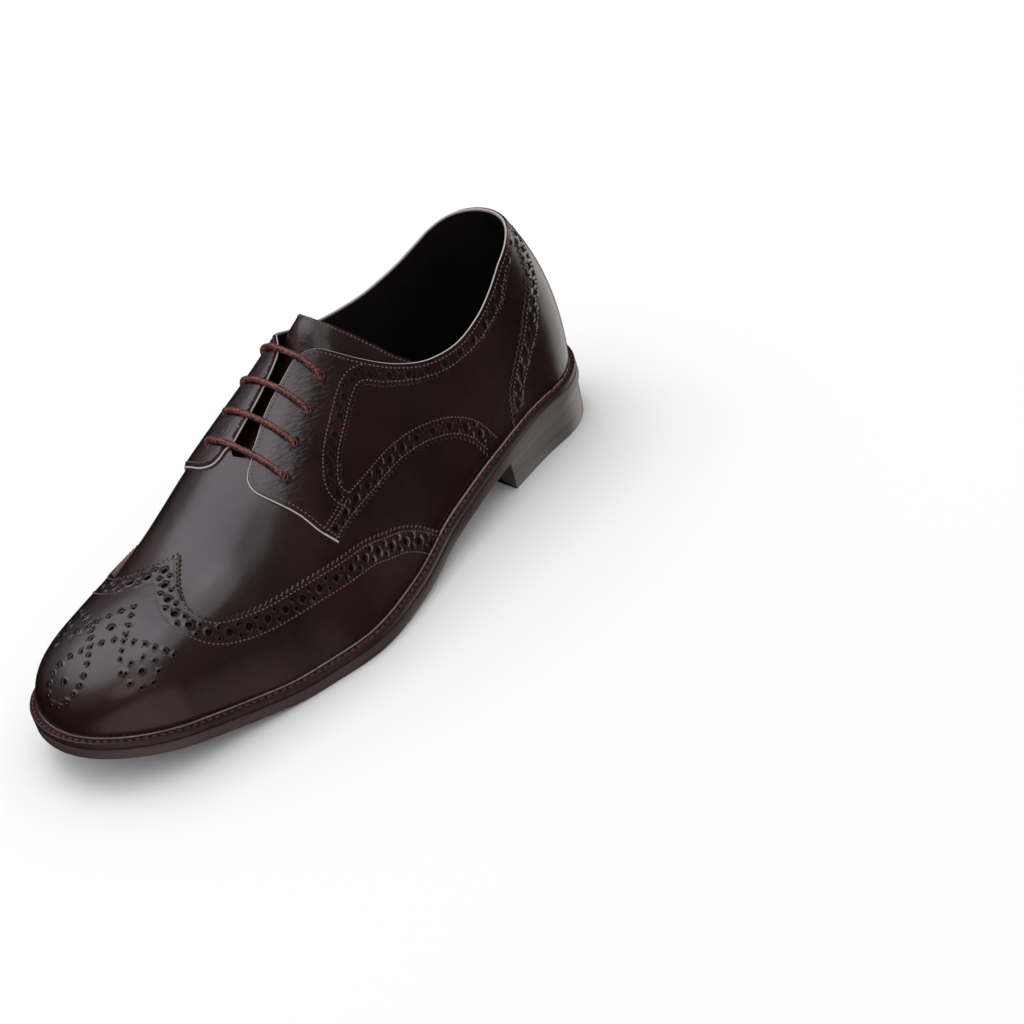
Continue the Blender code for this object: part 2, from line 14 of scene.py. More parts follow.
import bmesh
import bpy
import numpy as np
from mathutils import Matrix, Vector, geometry


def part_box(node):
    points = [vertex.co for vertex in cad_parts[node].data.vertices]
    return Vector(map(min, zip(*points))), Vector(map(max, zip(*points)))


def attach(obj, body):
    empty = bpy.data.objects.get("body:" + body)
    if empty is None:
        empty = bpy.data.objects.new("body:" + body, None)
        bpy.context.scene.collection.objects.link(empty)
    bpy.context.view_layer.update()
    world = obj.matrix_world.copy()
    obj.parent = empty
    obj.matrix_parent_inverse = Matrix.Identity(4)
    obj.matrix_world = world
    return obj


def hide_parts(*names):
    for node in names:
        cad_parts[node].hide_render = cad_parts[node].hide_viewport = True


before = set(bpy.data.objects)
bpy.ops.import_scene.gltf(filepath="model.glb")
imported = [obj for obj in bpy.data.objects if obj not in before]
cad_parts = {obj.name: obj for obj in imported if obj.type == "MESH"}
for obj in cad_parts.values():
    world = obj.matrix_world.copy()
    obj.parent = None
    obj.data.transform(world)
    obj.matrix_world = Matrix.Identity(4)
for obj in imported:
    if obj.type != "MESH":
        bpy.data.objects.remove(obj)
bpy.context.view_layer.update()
print("solids:", sorted(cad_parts))

# %% [markdown]
# ## The last
#
# A shoe gets its form from the last it is pulled over. The upper's solid was made from a table of
# sections, so the same table, in shares of a few driving sizes, gives a surface that any panel can be
# laid on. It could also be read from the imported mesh, but a formula gives points and normals everywhere,
# which glossy leather needs.

# %% Driving sizes of the last
MM = 0.001
SOLE_LENGTH = 302 * MM
BALL_BREADTH = 109 * MM
HEEL_BREADTH = 67.6 * MM
HEEL_HEIGHT = 18 * MM
HEEL_BREAST = 70 * MM
BREAST_HOLLOW = 2.5 * MM
TOE_SPRING = 15 * MM
OUTSOLE = 5.2 * MM
WELT = 3.2 * MM
PLATE_GAP = 0.3 * MM
SEAT_GAP = 0.6 * MM
INSTEP_HEIGHT = 81 * MM
COLLAR_HEIGHT = 74 * MM
FOREPART_MARGIN = 5.3 * MM
SEAT_MARGIN = 4.0 * MM
WALL = 2.0 * MM
HEEL_AXIS = 0.11 * SOLE_LENGTH
TOE_START = 0.865 * SOLE_LENGTH
TOP_START = 0.80 * SOLE_LENGTH
MARGIN_RUN = 0.45 * SOLE_LENGTH
TOE_SKEW = -0.037 * BALL_BREADTH
TOE_ROUND = 2.0
TOP_ROUND = 2.12
HEEL_SWELL = 1.0
HEEL_CURVE_IN = 2.4
TOE_REACH = SOLE_LENGTH - FOREPART_MARGIN - TOE_START
print(f"a sole {SOLE_LENGTH / MM:.0f} mm long, {BALL_BREADTH / MM:.0f} mm broad at the ball")

# along, spread, lateral share, arch, spring, ridge, lean, bulge, crown
SECTIONS = np.array((
    (0.110, 0.00, 0.500, 1.000, 0.00, 1.457, 0.000, -0.20, 0.00),
    (0.250, 0.07, 0.565, 0.820, 0.00, 1.320, -0.073, 0.00, 0.02),
    (0.360, 0.19, 0.597, 0.500, 0.00, 1.154, -0.180, 0.12, 0.05),
    (0.480, 0.62, 0.595, 0.095, 0.00, 1.000, -0.165, 0.26, 0.09),
    (0.610, 1.00, 0.571, 0.000, 0.00, 0.805, -0.095, 0.33, 0.10),
    (0.700, 0.98, 0.527, 0.000, 0.00, 0.636, -0.032, 0.31, 0.10),
    (0.800, 0.78, 0.498, 0.000, 0.29, 0.500, 0.023, 0.28, 0.10),
    (0.900, 0.55, 0.478, 0.000, 0.71, 0.401, 0.060, 0.27, 0.10),
    (1.000, 0.44, 0.477, 0.000, 1.00, 0.333, 0.070, 0.27, 0.10),
))
# along, lateral height, medial height of the collar over the feather line
TOPLINE = np.array((
    (0.000, 1.000, 1.000),
    (0.060, 0.985, 0.985),
    (0.100, 0.920, 0.945),
    (0.140, 0.805, 0.905),
    (0.180, 0.730, 0.880),
    (0.230, 0.700, 0.875),
    (0.280, 0.735, 0.895),
    (0.330, 0.845, 0.940),
    (0.370, 0.995, 1.025),
    (0.400, 1.130, 1.120),
))
# along, lateral and medial share of the way up, of the throat's edge
THROAT = np.array((
    (0.412, 0.830, 0.850),
    (0.424, 0.895, 0.945),
    (0.450, 0.915, 0.972),
    (0.500, 0.927, 0.984),
    (0.550, 0.907, 0.972),
    (0.566, 0.899, 0.969),
    (0.575, 0.930, 0.980),
    (0.579, 1.000, 1.000),
))


# %% Smooth columns of the tables
def column(table, index, scale=1.0, soften=5 * MM, step=0.5 * MM):
    """A column of a table as a function of the distance from the heel, without overshoot and gently
    blurred."""
    along, values = table[:, 0] * SOLE_LENGTH, table[:, index] * scale
    gaps, rises = np.diff(along), np.diff(values)
    slope = rises / gaps
    tangent = np.zeros(len(values))
    for i in range(1, len(values) - 1):
        if slope[i - 1] * slope[i] > 0:
            before = 2 * gaps[i] + gaps[i - 1]
            after = gaps[i] + 2 * gaps[i - 1]
            tangent[i] = (before + after) / (before / slope[i - 1] + after / slope[i])
    tangent[-1] = slope[-1]
    reach = 4 * soften
    places = np.arange(along[0] - reach, along[-1] + reach, step)
    x = np.clip(places, along[0], along[-1])
    i = np.clip(np.searchsorted(along, x, side="right") - 1, 0, len(gaps) - 1)
    t = (x - along[i]) / gaps[i]
    dense = (1 + 2 * t) * (1 - t) ** 2 * values[i] + t * t * (3 - 2 * t) * values[i + 1]
    dense += gaps[i] * t * (1 - t) * ((1 - t) * tangent[i] - t * tangent[i + 1])
    dense += np.maximum(places - along[-1], 0) * tangent[-1]
    spread = np.arange(-reach, reach + step / 2, step)
    weights = np.exp(-0.5 * (spread / soften) ** 2)
    padded = np.pad(dense, len(spread) // 2, mode="edge")
    blurred = np.convolve(padded, weights / weights.sum(), mode="valid")
    return lambda at: np.interp(at, places, blurred[: len(places)])


SPREAD, LATERAL_SHARE = column(SECTIONS, 1), column(SECTIONS, 2)
ARCH, SPRING = column(SECTIONS, 3, HEEL_HEIGHT), column(SECTIONS, 4, TOE_SPRING)
RIDGE, LEAN = column(SECTIONS, 5, INSTEP_HEIGHT), column(SECTIONS, 6, BALL_BREADTH)
BULGE, CROWN = column(SECTIONS, 7), column(SECTIONS, 8)
COLLAR = {side: column(TOPLINE, i, COLLAR_HEIGHT, 2 * MM) for side, i in ((1, 1), (-1, 2))}
THROAT_UP = {side: column(THROAT, i, 1.0, 0.3 * MM) for side, i in ((1, 1), (-1, 2))}
OPEN_TO = THROAT[-1, 0] * SOLE_LENGTH
print(f"the throat is open up to {OPEN_TO / MM:.0f} mm from the heel")


# %% The sole's edge and the form of the upper
def underside(x):
    return ARCH(x) + SPRING(x)


def welt_top(x):
    return underside(x) + OUTSOLE + PLATE_GAP + WELT


def closing(x, start, end, power):
    share = np.clip((x - start) / (end - start), 0, 1)
    return np.sqrt(np.clip(1 - share**power, 0, 1))


def margin(x):
    share = np.clip((x - HEEL_AXIS) / MARGIN_RUN, 0, 1)
    return SEAT_MARGIN + (FOREPART_MARGIN - SEAT_MARGIN) * share


def sole_edge(x, side, inset):
    """Sideways place of the sole's edge, pulled in by inset. side is 1 lateral, -1 medial."""
    breadth = HEEL_BREADTH + (BALL_BREADTH - HEEL_BREADTH) * SPREAD(x)
    share = np.where(np.asarray(side) > 0, LATERAL_SHARE(x), 1 - LATERAL_SHARE(x))
    end = SOLE_LENGTH - inset
    drift = np.clip((x - TOE_START) / (end - TOE_START), 0, 1)
    half = (breadth * share - inset) * closing(x, TOE_START, end, TOE_ROUND)
    return TOE_SKEW * drift**2 * (3 - 2 * drift) + side * half


along_all = np.linspace(HEEL_AXIS, SOLE_LENGTH, 2000)
ORIGIN = np.array((
    -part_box("outsole")[0].x,
    sole_edge(along_all, 1, 0.0).max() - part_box("outsole")[1].y,
    0.0,
))
print("the last's heel point lies at", (-ORIGIN).round(4))


def along_of(s):
    """Distance from the heel for a station s. Stations are even in real length round the toe."""
    s = np.abs(s)
    turn = np.clip((s - TOE_START) / TOE_REACH, 0, np.pi / 2)
    return np.where(s > TOE_START, TOE_START + TOE_REACH * np.sin(turn), s)


def station_of(u):
    share = np.clip((np.asarray(u, float) - TOE_START) / TOE_REACH, 0, 1)
    return np.where(np.asarray(u) > TOE_START, TOE_START + TOE_REACH * np.arcsin(share), u)


LAST_STATION = TOE_START + TOE_REACH * np.pi / 2 * 0.999


def form(places, lift=0.0):
    """Points of the upper's outer form at (station, up) places. up runs from 0 at the lateral feather line
    over 1 at the ridge to 2 at the medial one. A negative station is the medial side of the heel."""
    places = np.atleast_2d(places)
    s, v = places[:, 0], places[:, 1]
    side = np.where((s < 0) | (v > 1), -1.0, 1.0)
    u = along_of(s)
    w = np.where(v > 1, 2 - v, v)
    lift = np.broadcast_to(lift, u.shape)
    x = np.maximum(u, HEEL_AXIS)
    x = x + np.where(x > TOE_START, lift * (x - TOE_START) / TOE_REACH, 0)
    inset = margin(x) - lift
    angle = w * np.pi / 2
    rise = np.sin(angle) * (1 + CROWN(x) * np.cos(angle) ** 2)
    top = closing(x, TOP_START, SOLE_LENGTH - FOREPART_MARGIN + lift, TOP_ROUND)
    high, low = sole_edge(x, 1, inset), sole_edge(x, -1, inset)
    middle = (high + low) / 2 + LEAN(x) * top * rise
    half = (high - low) / 2 * np.cos(angle) * (1 + BULGE(x) * np.sin(angle) ** 2)
    height = welt_top(x) + SEAT_GAP + (RIDGE(x) + lift) * top * rise
    turn = np.minimum(u / HEEL_AXIS, 1) * np.pi / 2
    reach = (HEEL_AXIS - SEAT_MARGIN) * (1 + HEEL_SWELL * rise - HEEL_CURVE_IN * rise**2) + lift
    ahead = np.where(u < HEEL_AXIS, HEEL_AXIS - reach * np.cos(turn), x)
    return np.stack((ahead, middle + side * half * np.sin(turn), height), 1) - ORIGIN


PROBE = np.array((0.4 * MM, 0.004))


def value(given, places):
    """A number for each place, from a number or from a function of the places."""
    return given(places) if callable(given) else np.full(len(places), float(given))


def tangents(places, lift=0.0):
    """The surface's two tangents at each place, for one metre of station and for one whole step up."""
    places = np.atleast_2d(places)
    pair = []
    for i in (0, 1):
        step = np.where(np.arange(2) == i, PROBE, 0)
        ahead, behind = places + step, places - step
        pair.append((form(ahead, value(lift, ahead)) - form(behind, value(lift, behind))) / (2 * PROBE[i]))
    return pair


def unit(vectors):
    return vectors / np.maximum(np.linalg.norm(vectors, axis=-1, keepdims=True), 1e-12)


def outward(places, lift=0.0):
    """The form's normals, pointing away from the foot."""
    along, up = tangents(places, lift)
    return unit(np.cross(up, along))


def flat_steps(places, steps):
    """Real steps on the form, as changes of station and up."""
    along, up = tangents(places)
    a, b, c = (along * along).sum(1), (along * up).sum(1), (up * up).sum(1)
    p, q = (along * steps).sum(1), (up * steps).sum(1)
    det = np.maximum(a * c - b * b, 1e-12)
    return np.stack(((p * c - q * b) / det, (q * a - p * b) / det), 1)


# %% Where the upper ends
def raw_top_edge(u, side):
    """Share of the way up at which the upper ends on one side: the collar, and the throat's edge."""
    x = np.maximum(u, HEEL_AXIS)
    angle = np.zeros_like(u)
    for _ in range(12):
        full = RIDGE(x) * (1 + CROWN(x) * np.cos(angle) ** 2)
        angle = np.arcsin(np.clip(COLLAR[side](u) / full, 0, 1))
    collar = angle / (np.pi / 2)
    first = THROAT[0, 0] * SOLE_LENGTH
    join = TOPLINE[-1, 0] * SOLE_LENGTH
    share = np.clip((u - join) / (first - join), 0, 1)
    collar = collar * (1 - share) + THROAT[0, 1 if side > 0 else 2] * share
    return np.where(u >= first, THROAT_UP[side](np.minimum(u, OPEN_TO)), collar)


EDGE_SOFTEN = 2.2 * MM
EDGE_STEP = 0.5 * MM
EDGE_REACH = 16
edge_stations = np.arange(0, OPEN_TO, EDGE_STEP)
edge_kernel = np.exp(-0.5 * (np.arange(-EDGE_REACH, EDGE_REACH + 1) * EDGE_STEP / EDGE_SOFTEN) ** 2)
EDGE_TABLE = {}
for side in (1, -1):
    padded = np.pad(raw_top_edge(edge_stations, side), EDGE_REACH, mode="edge")
    EDGE_TABLE[side] = np.convolve(padded, edge_kernel / edge_kernel.sum(), mode="valid")
print("the collar's lowest share of the way up:", round(float(EDGE_TABLE[1].min()), 3))


def top_edge(s, side):
    """The same share with the corners rounded. It is the ridge itself ahead of the throat."""
    u = along_of(s)
    return np.where(u >= OPEN_TO, 1.0, np.interp(u, edge_stations, EDGE_TABLE[side]))


# %% [markdown]
# ## Runs on the form
#
# Stitch rows, punched bands and gimped edges all follow an edge at a real distance. Each is a run of
# places on the form, moved sideways and spaced in millimetres with the form's own tangents, so a band
# keeps its width where the leather bends. The alternative, drawing in flat pattern pieces and bending
# them, would need the same metric twice.


# %% Tools for runs
def between(before, start, end, after, t):
    """The place a share t of the way from start to end, on a smooth curve through all four places."""
    leaving, arriving = (end - before) / 2, (after - start) / 2
    blend = t * t * (3 - 2 * t)
    return start + (end - start) * blend + t * (1 - t) ** 2 * leaving - t * t * (1 - t) * arriving


def distances(points):
    """How far each point lies from the first one, along the points."""
    return np.concatenate(([0], np.cumsum(np.linalg.norm(np.diff(points, axis=0), axis=1))))


def read_at(at, far, run):
    """The places of a run at some distances, where far gives the distance of each of its own."""
    return np.stack([np.interp(at, far, values) for values in run.T], 1)


def rounded(points, steps=8):
    """A smooth run through hand-set points, given as shares of the length and shares of the way up."""
    points = np.array([(station_of(a * SOLE_LENGTH), w) for a, w in points], float)
    padded = np.vstack([2 * points[:1] - points[1:2], points, 2 * points[-1:] - points[-2:-1]])
    run = []
    for four in zip(padded, padded[1:], padded[2:], padded[3:]):
        run += [between(*four, t) for t in np.arange(steps) / steps]
    return np.array(run + [points[-1]])


def medial(run):
    """The same run on the medial side."""
    return np.stack((run[:, 0], 2 - run[:, 1]), 1)


def lengths(run):
    return distances(form(run))


def spaced(run, pitch, start=0.0, end=0.0):
    """Places at an even real pitch along a run, leaving out a length at its start and end."""
    far = lengths(run)
    free = far[-1] - start - end
    count = max(int(round(free / pitch)), 1)
    return read_at(np.linspace(start, far[-1] - end, count + 1), far, run)


def moved(run, by, turns=1):
    """A run moved to its left on the form by a real distance, in a few turns where it is far."""
    run = np.array(run, float)
    for _ in range(turns):
        points = form(run)
        ahead = unit(np.gradient(points, axis=0))
        left = unit(np.cross(ahead, outward(run)))
        step = np.broadcast_to(np.asarray(by) / turns, (len(run),))
        run = run + flat_steps(run, left * step[:, None])
    return run


def gimped(run, pitch=2.6 * MM, depth=1.2 * MM):
    """A zigzag edge along a run."""
    even = spaced(run, pitch / 2)
    waves = np.where(np.arange(len(even)) % 2 == 0, -0.5, 0.5) * depth
    waves[0] = waves[-1] = 0
    return moved(even, waves)


# %% [markdown]
# ## Panels of leather
#
# A brogue's panel is a flat piece with pinked edges and punched holes, pulled over the last. Here its
# outline and its holes are triangulated together in the flat places of the form, and the result is laid
# on the form at the leather's thickness. Punching with booleans would leave rough shading, so the holes
# are cut in the flat instead, every rim gets a small round shoulder, and the normals come from the form
# itself. Under the real holes lies leather in shade, so each hole is closed at its foot with a near-black
# disc of painted shade.

# %% Places laid out flat
SPAN_COLUMNS, SPAN_ROWS = 240, 81
span_stations = np.linspace(0, LAST_STATION, SPAN_COLUMNS)
span_rows = np.linspace(0, 2, SPAN_ROWS)
span_points = np.array([form(np.stack((np.full(SPAN_ROWS, s), span_rows), 1)) for s in span_stations])
span_lengths = np.linalg.norm(np.diff(span_points, axis=1), axis=2).sum(1) / 2
print(f"from welt to ridge: {span_lengths.max() / MM:.0f} mm at most")


def way_up(s):
    """Real length from the feather line to the ridge at a station."""
    return np.interp(np.abs(s), span_stations, span_lengths)


def to_flat(places):
    """Places laid out flat, nearly at their real size, so that triangles come out even."""
    places = np.asarray(places, float)
    return np.stack((places[:, 0], (places[:, 1] - 1) * way_up(places[:, 0])), 1)


def from_flat(flat):
    return np.stack((flat[:, 0], flat[:, 1] / way_up(flat[:, 0]) + 1), 1)


def inside(points, polygon):
    """Which flat points lie inside a polygon, by counting crossings."""
    x, y = points[:, 0], points[:, 1]
    count = np.zeros(len(points), int)
    for (x0, y0), (x1, y1) in zip(polygon, np.roll(polygon, -1, axis=0)):
        if y0 != y1:
            cross = (y0 > y) != (y1 > y)
            count += cross & (x < (x1 - x0) * (y - y0) / (y1 - y0) + x0)
    return count % 2 == 1


# %% Rings and fillers
SHOULDER = 0.3 * MM
HOLE_SEGMENTS = 14
GRID = 1.7 * MM
ROW_SPACING = 0.87
COLUMN_STEPS = 41
AT_ONCE = 400
EDGE_CLEARANCE, HOLE_CLEARANCE = 0.55, 0.25


def ring(place, radius, segments=HOLE_SEGMENTS, turn=0.0):
    """A circle of real radius on the form."""
    places = np.repeat([place], segments, axis=0)
    along = unit(tangents(places)[0])
    across = np.cross(outward(places), along)
    angle = np.arange(segments) / segments * 2 * np.pi + turn
    steps = radius * (along * np.cos(angle)[:, None] + across * np.sin(angle)[:, None])
    return places + flat_steps(places, steps)


def nearest(points, others, radii=0.0):
    """Each point's gap to the nearest of some others, which may have a radius. It works on a part of the
    points at once to save memory."""
    parts = np.array_split(points, max(len(points) // AT_ONCE, 1))
    gaps = (np.linalg.norm(part[:, None] - others[None], axis=2) - radii for part in parts)
    return np.concatenate([gap.min(1) for gap in gaps])


def filler(outline, holes, grid=GRID):
    """Places that fill a panel evenly, clear of its edge and its holes."""
    low, high = outline.min(0), outline.max(0)
    rows = []
    for i, s in enumerate(np.arange(low[0] + grid / 2, high[0], grid * ROW_SPACING)):
        heights = np.linspace(low[1], high[1], COLUMN_STEPS)
        column_places = np.stack((np.full(COLUMN_STEPS, s), heights), 1)
        length = np.linalg.norm(np.diff(form(column_places), axis=0), axis=1).sum()
        count = max(int(length / grid), 2)
        shift = 0.5 * (i % 2)
        v = low[1] + (high[1] - low[1]) * (np.arange(count) + shift) / count
        rows.append(np.stack((np.full(count, s), v), 1))
    places = np.vstack(rows)
    places = places[inside(to_flat(places), to_flat(outline))]
    points = form(places)
    clear = nearest(points, form(outline)) > EDGE_CLEARANCE * grid
    if holes:
        given = np.array(holes)
        clear &= nearest(points, form(given[:, :2]), given[:, 2]) > SHOULDER + HOLE_CLEARANCE * grid
    return places[clear]


# %% The flat net of a panel
BORDER = 0.35 * MM
PUFF, PUFF_FROM, PUFF_TO = 0.42, 0.6 * SHOULDER, 1.4 * SHOULDER
HOLE_SHADE_LIFT = 0.15 * MM
MERGE = 1e-7
FACE, CUT, HOLE_SHADE = 0, 1, 2


def new_piece(name, points, faces, normals=None, parts=()):
    """A smooth mesh object from points, faces and, where they are known, normals. parts gives each face's
    material number."""
    mesh = bpy.data.meshes.new(name)
    mesh.from_pydata([tuple(p) for p in points], [], [tuple(int(i) for i in f) for f in faces])
    mesh.shade_smooth()
    if len(parts):
        mesh.polygons.foreach_set("material_index", list(parts))
    if normals is not None:
        mesh.normals_split_custom_set_from_vertices([tuple(n) for n in normals])
    mesh.validate()
    made = bpy.data.objects.new(name, mesh)
    bpy.context.scene.collection.objects.link(made)
    return made


def cut_flat(outline, rims, loose):
    """Triangles of a flat panel with holes. Returns the places, the triangles, and the outline and the holes
    as loops of indices."""
    given = np.vstack([outline] + rims + [loose])
    starts = np.concatenate(([0, len(outline)], len(outline) + HOLE_SEGMENTS * np.arange(1, len(rims) + 1)))
    loops = [np.arange(a, b) for a, b in zip(starts, starts[1:])]
    edges = [(int(i), int(j)) for loop in loops for i, j in zip(loop, np.roll(loop, -1))]
    result = geometry.delaunay_2d_cdt([Vector(p) for p in to_flat(given)], edges, [], 0, MERGE, True)
    flat = np.array([tuple(v) for v in result[0]])
    first = np.array([o[0] if len(o) else -1 for o in result[3]])
    where = np.zeros(len(given), int)
    for i, o in enumerate(result[3]):
        where[list(o)] = i
    places = np.where((first >= 0)[:, None], given[first], from_flat(flat))
    kind = np.full(len(flat), -1)
    for number, loop in enumerate(loops):
        kind[where[loop]] = number
    tris = np.array([f for f in result[2] if len(f) == 3])
    kinds = kind[tris]
    in_hole = (kinds[:, 0] > 0) & (kinds == kinds[:, :1]).all(1)
    within = inside(flat[tris].mean(1), to_flat(outline))
    return places, tris[within & ~in_hole], [where[loop] for loop in loops]


def net(outline, holes, grid):
    """A panel's places and triangles, and its edge and its holes as loops of indices."""
    wrapped = np.vstack([outline[-1:], outline, outline[:1]])
    inner = moved(wrapped, BORDER)[1:-1]
    inner = inner[inside(to_flat(inner), to_flat(outline))]
    rims = [ring((s, v), r) for s, v, r in holes]
    shoulders = [ring((s, v), r + SHOULDER, turn=np.pi / HOLE_SEGMENTS) for s, v, r in holes]
    loose = np.vstack(shoulders + [inner, filler(outline, holes, grid)])
    return cut_flat(outline, rims, loose)


# %% Rims, walls and backings of a panel
def walls(points, loops, normals):
    """The walls that go down from each loop: their directions, and their faces to points still to come."""
    asides, faces = [], []
    start = len(points)
    for loop in loops:
        at = points[loop]
        ahead = unit(np.roll(at, -1, axis=0) - np.roll(at, 1, axis=0))
        asides.append(unit(np.cross(normals[loop], ahead)))
        n = len(loop)
        faces += [(loop[i], loop[(i + 1) % n], start + (i + 1) % n, start + i) for i in range(n)]
        start += n
    return asides, faces


def rolled_over(normals, points, loops, asides, holes, lift):
    """The face's normals, leaning outwards at the edge and the rims, and a little on each shoulder."""
    rolled = normals.copy()
    for loop, aside in zip(loops, asides):
        rolled[loop] = unit(normals[loop] + aside)
    for hole, rim in zip(holes, loops[1:]):
        away = points - form(hole[:2], lift[rim[0]])[0]
        gap = np.linalg.norm(away, axis=1) - hole[2]
        near = (gap < PUFF_TO) & (gap > PUFF_FROM)
        rolled[near] = unit(rolled[near] + PUFF * unit(away[near]))
    return rolled


def outward_turned(tris, points, normals):
    """The triangles, turned where they faced the foot."""
    corner = points[tris]
    facing_out = np.cross(corner[:, 1] - corner[:, 0], corner[:, 2] - corner[:, 0])
    wrong = (facing_out * normals[tris[:, 0]]).sum(1) < 0
    tris[wrong] = tris[wrong][:, ::-1]
    return tris


def hole_shade_discs(places, rims, normals, low, start):
    """One face of painted shade in the foot of each hole, numbered from start: their points and the faces."""
    points, faces = [], []
    for rim in rims:
        at = form(places[rim], low[rim] + HOLE_SHADE_LIFT)
        foot = tuple(range(start, start + len(rim)))
        if np.cross(at[5] - at[0], at[10] - at[0]) @ normals[rim[0]] < 0:
            foot = foot[::-1]
        points.append(at)
        faces.append(foot)
        start += len(rim)
    return points, faces


# %% A whole panel
def panel(name, outline, holes, top, base=0.0, closed=False, grid=GRID):
    """A leather panel. outline is its edge, anticlockwise in (station, up); holes are (station, up, radius);
    top and base give the lift of its face and of its underside, as numbers or as functions of the places."""
    places, tris, loops = net(outline, holes, grid)
    lift, low = value(top, places), value(base, places)
    normals = outward(places, top)
    rounding = np.zeros(len(places))
    for loop, drop in zip(loops, [BORDER] + [SHOULDER] * len(holes)):
        rounding[loop] = drop
    points = form(places, lift - rounding)
    asides, faces = walls(points, loops, normals)
    all_points = [points] + [form(places[loop], low[loop]) for loop in loops]
    all_normals = [rolled_over(normals, points, loops, asides, holes, lift)] + asides
    tris = outward_turned(tris, points, normals)
    faces += [tuple(t) for t in tris]
    if closed:
        start = sum(len(p) for p in all_points)
        all_points.append(form(places, low))
        all_normals.append(-normals)
        faces += [tuple(start + t[::-1]) for t in tris]
    start = sum(len(p) for p in all_points)
    feet, foot_faces = hole_shade_discs(places, loops[1:], normals, low, start)
    all_points += feet
    all_normals += [normals[rim] for rim in loops[1:]]
    parts = [CUT] * len(outline) + [FACE] * (len(faces) - len(outline)) + [HOLE_SHADE] * len(foot_faces)
    faces += foot_faces
    made = new_piece(name, np.vstack(all_points), faces, np.vstack(all_normals), parts)
    print(f"{name}: {len(holes)} holes, {len(faces)} faces")
    return made


# %% [markdown]
# ## Thread
#
# Every row of stitches is real thread: a short rod for each stitch that dips into the leather at both
# ends. One mesh holds a whole set of rows, which keeps the number of pieces low.

# %% The stitch maker
# share of the stitch's length, rise and size in radii of the thread
STITCH_RINGS = np.array((
    (0.00, -0.90, 0.55),
    (0.12, -0.10, 0.95),
    (0.50, 0.35, 1.00),
    (0.88, -0.10, 0.95),
    (1.00, -0.90, 0.55),
))
STITCH_SIDES = 6


def stitches(name, rows, radius=0.32 * MM, cover=0.62):
    """One rod for each step of each row, which it covers up to a share. rows is a list of (points, upward
    directions)."""
    share, rise, size = STITCH_RINGS.T
    rings = len(STITCH_RINGS)
    angle = np.arange(STITCH_SIDES) / STITCH_SIDES * 2 * np.pi
    around = np.stack((np.cos(angle), np.sin(angle)), 1)
    block = rings * STITCH_SIDES
    shell = []
    for r in range(rings - 1):
        for k in range(STITCH_SIDES):
            a, b = r * STITCH_SIDES + k, r * STITCH_SIDES + (k + 1) % STITCH_SIDES
            shell.append((a, b, b + STITCH_SIDES, a + STITCH_SIDES))
    shell.append(tuple(range(STITCH_SIDES))[::-1])
    shell.append(tuple(range(block - STITCH_SIDES, block)))
    points, faces = [], []
    for at, up in rows:
        start, end = at[:-1], at[1:]
        ahead = unit(end - start)
        across = unit(np.cross(up[:-1] + up[1:], ahead))
        over = np.cross(ahead, across)
        middle = start[:, None] + (end - start)[:, None] * (0.5 + (share - 0.5) * cover)[None, :, None]
        middle = middle + over[:, None] * (rise * radius)[None, :, None]
        spokes = across[:, None] * around[None, :, :1] + over[:, None] * around[None, :, 1:]
        rods = middle[:, :, None] + radius * size[None, :, None, None] * spokes[:, None]
        for rod in rods.reshape(-1, block, 3):
            base = len(points) * block
            points.append(rod)
            faces += [tuple(base + i for i in f) for f in shell]
    print(f"{name}: {len(points)} stitches")
    return new_piece(name, np.vstack(points), faces)


def tube(name, points, radius, sides=10, closed=False, swell=None):
    """A round tube along points, turned as little as possible from one ring to the next."""
    points = np.asarray(points, float)
    if closed:
        ahead = unit(np.roll(points, -1, axis=0) - np.roll(points, 1, axis=0))
    else:
        ahead = unit(np.gradient(points, axis=0))
    side = np.zeros_like(points)
    side[0] = unit(np.cross(ahead[0], (0.3, 0.2, 1.0)))
    for i in range(1, len(points)):
        side[i] = unit(side[i - 1] - ahead[i] * (side[i - 1] @ ahead[i]))
    if closed:
        end = unit(side[-1] - ahead[0] * (side[-1] @ ahead[0]))
        twist = np.arctan2(np.cross(end, side[0]) @ ahead[0], end @ side[0])
    else:
        twist = 0.0
    up = np.cross(ahead, side)
    angle = np.arange(sides) / sides * 2 * np.pi
    share = np.arange(len(points)) / len(points)
    turned = angle[None] + (twist * share)[:, None]
    size = np.full((len(points), sides), radius)
    if swell is not None:
        size = size * swell(distances(points), angle)
    rings = points[:, None] + size[..., None] * (
        side[:, None] * np.cos(turned)[..., None] + up[:, None] * np.sin(turned)[..., None]
    )
    faces = []
    for i in range(len(points) if closed else len(points) - 1):
        j = (i + 1) % len(points)
        for k in range(sides):
            m = (k + 1) % sides
            faces.append((i * sides + k, i * sides + m, j * sides + m, j * sides + k))
    if not closed:
        faces.append(tuple(range(sides))[::-1])
        faces.append(tuple((len(points) - 1) * sides + k for k in range(sides)))
    return new_piece(name, rings.reshape(-1, 3), faces)
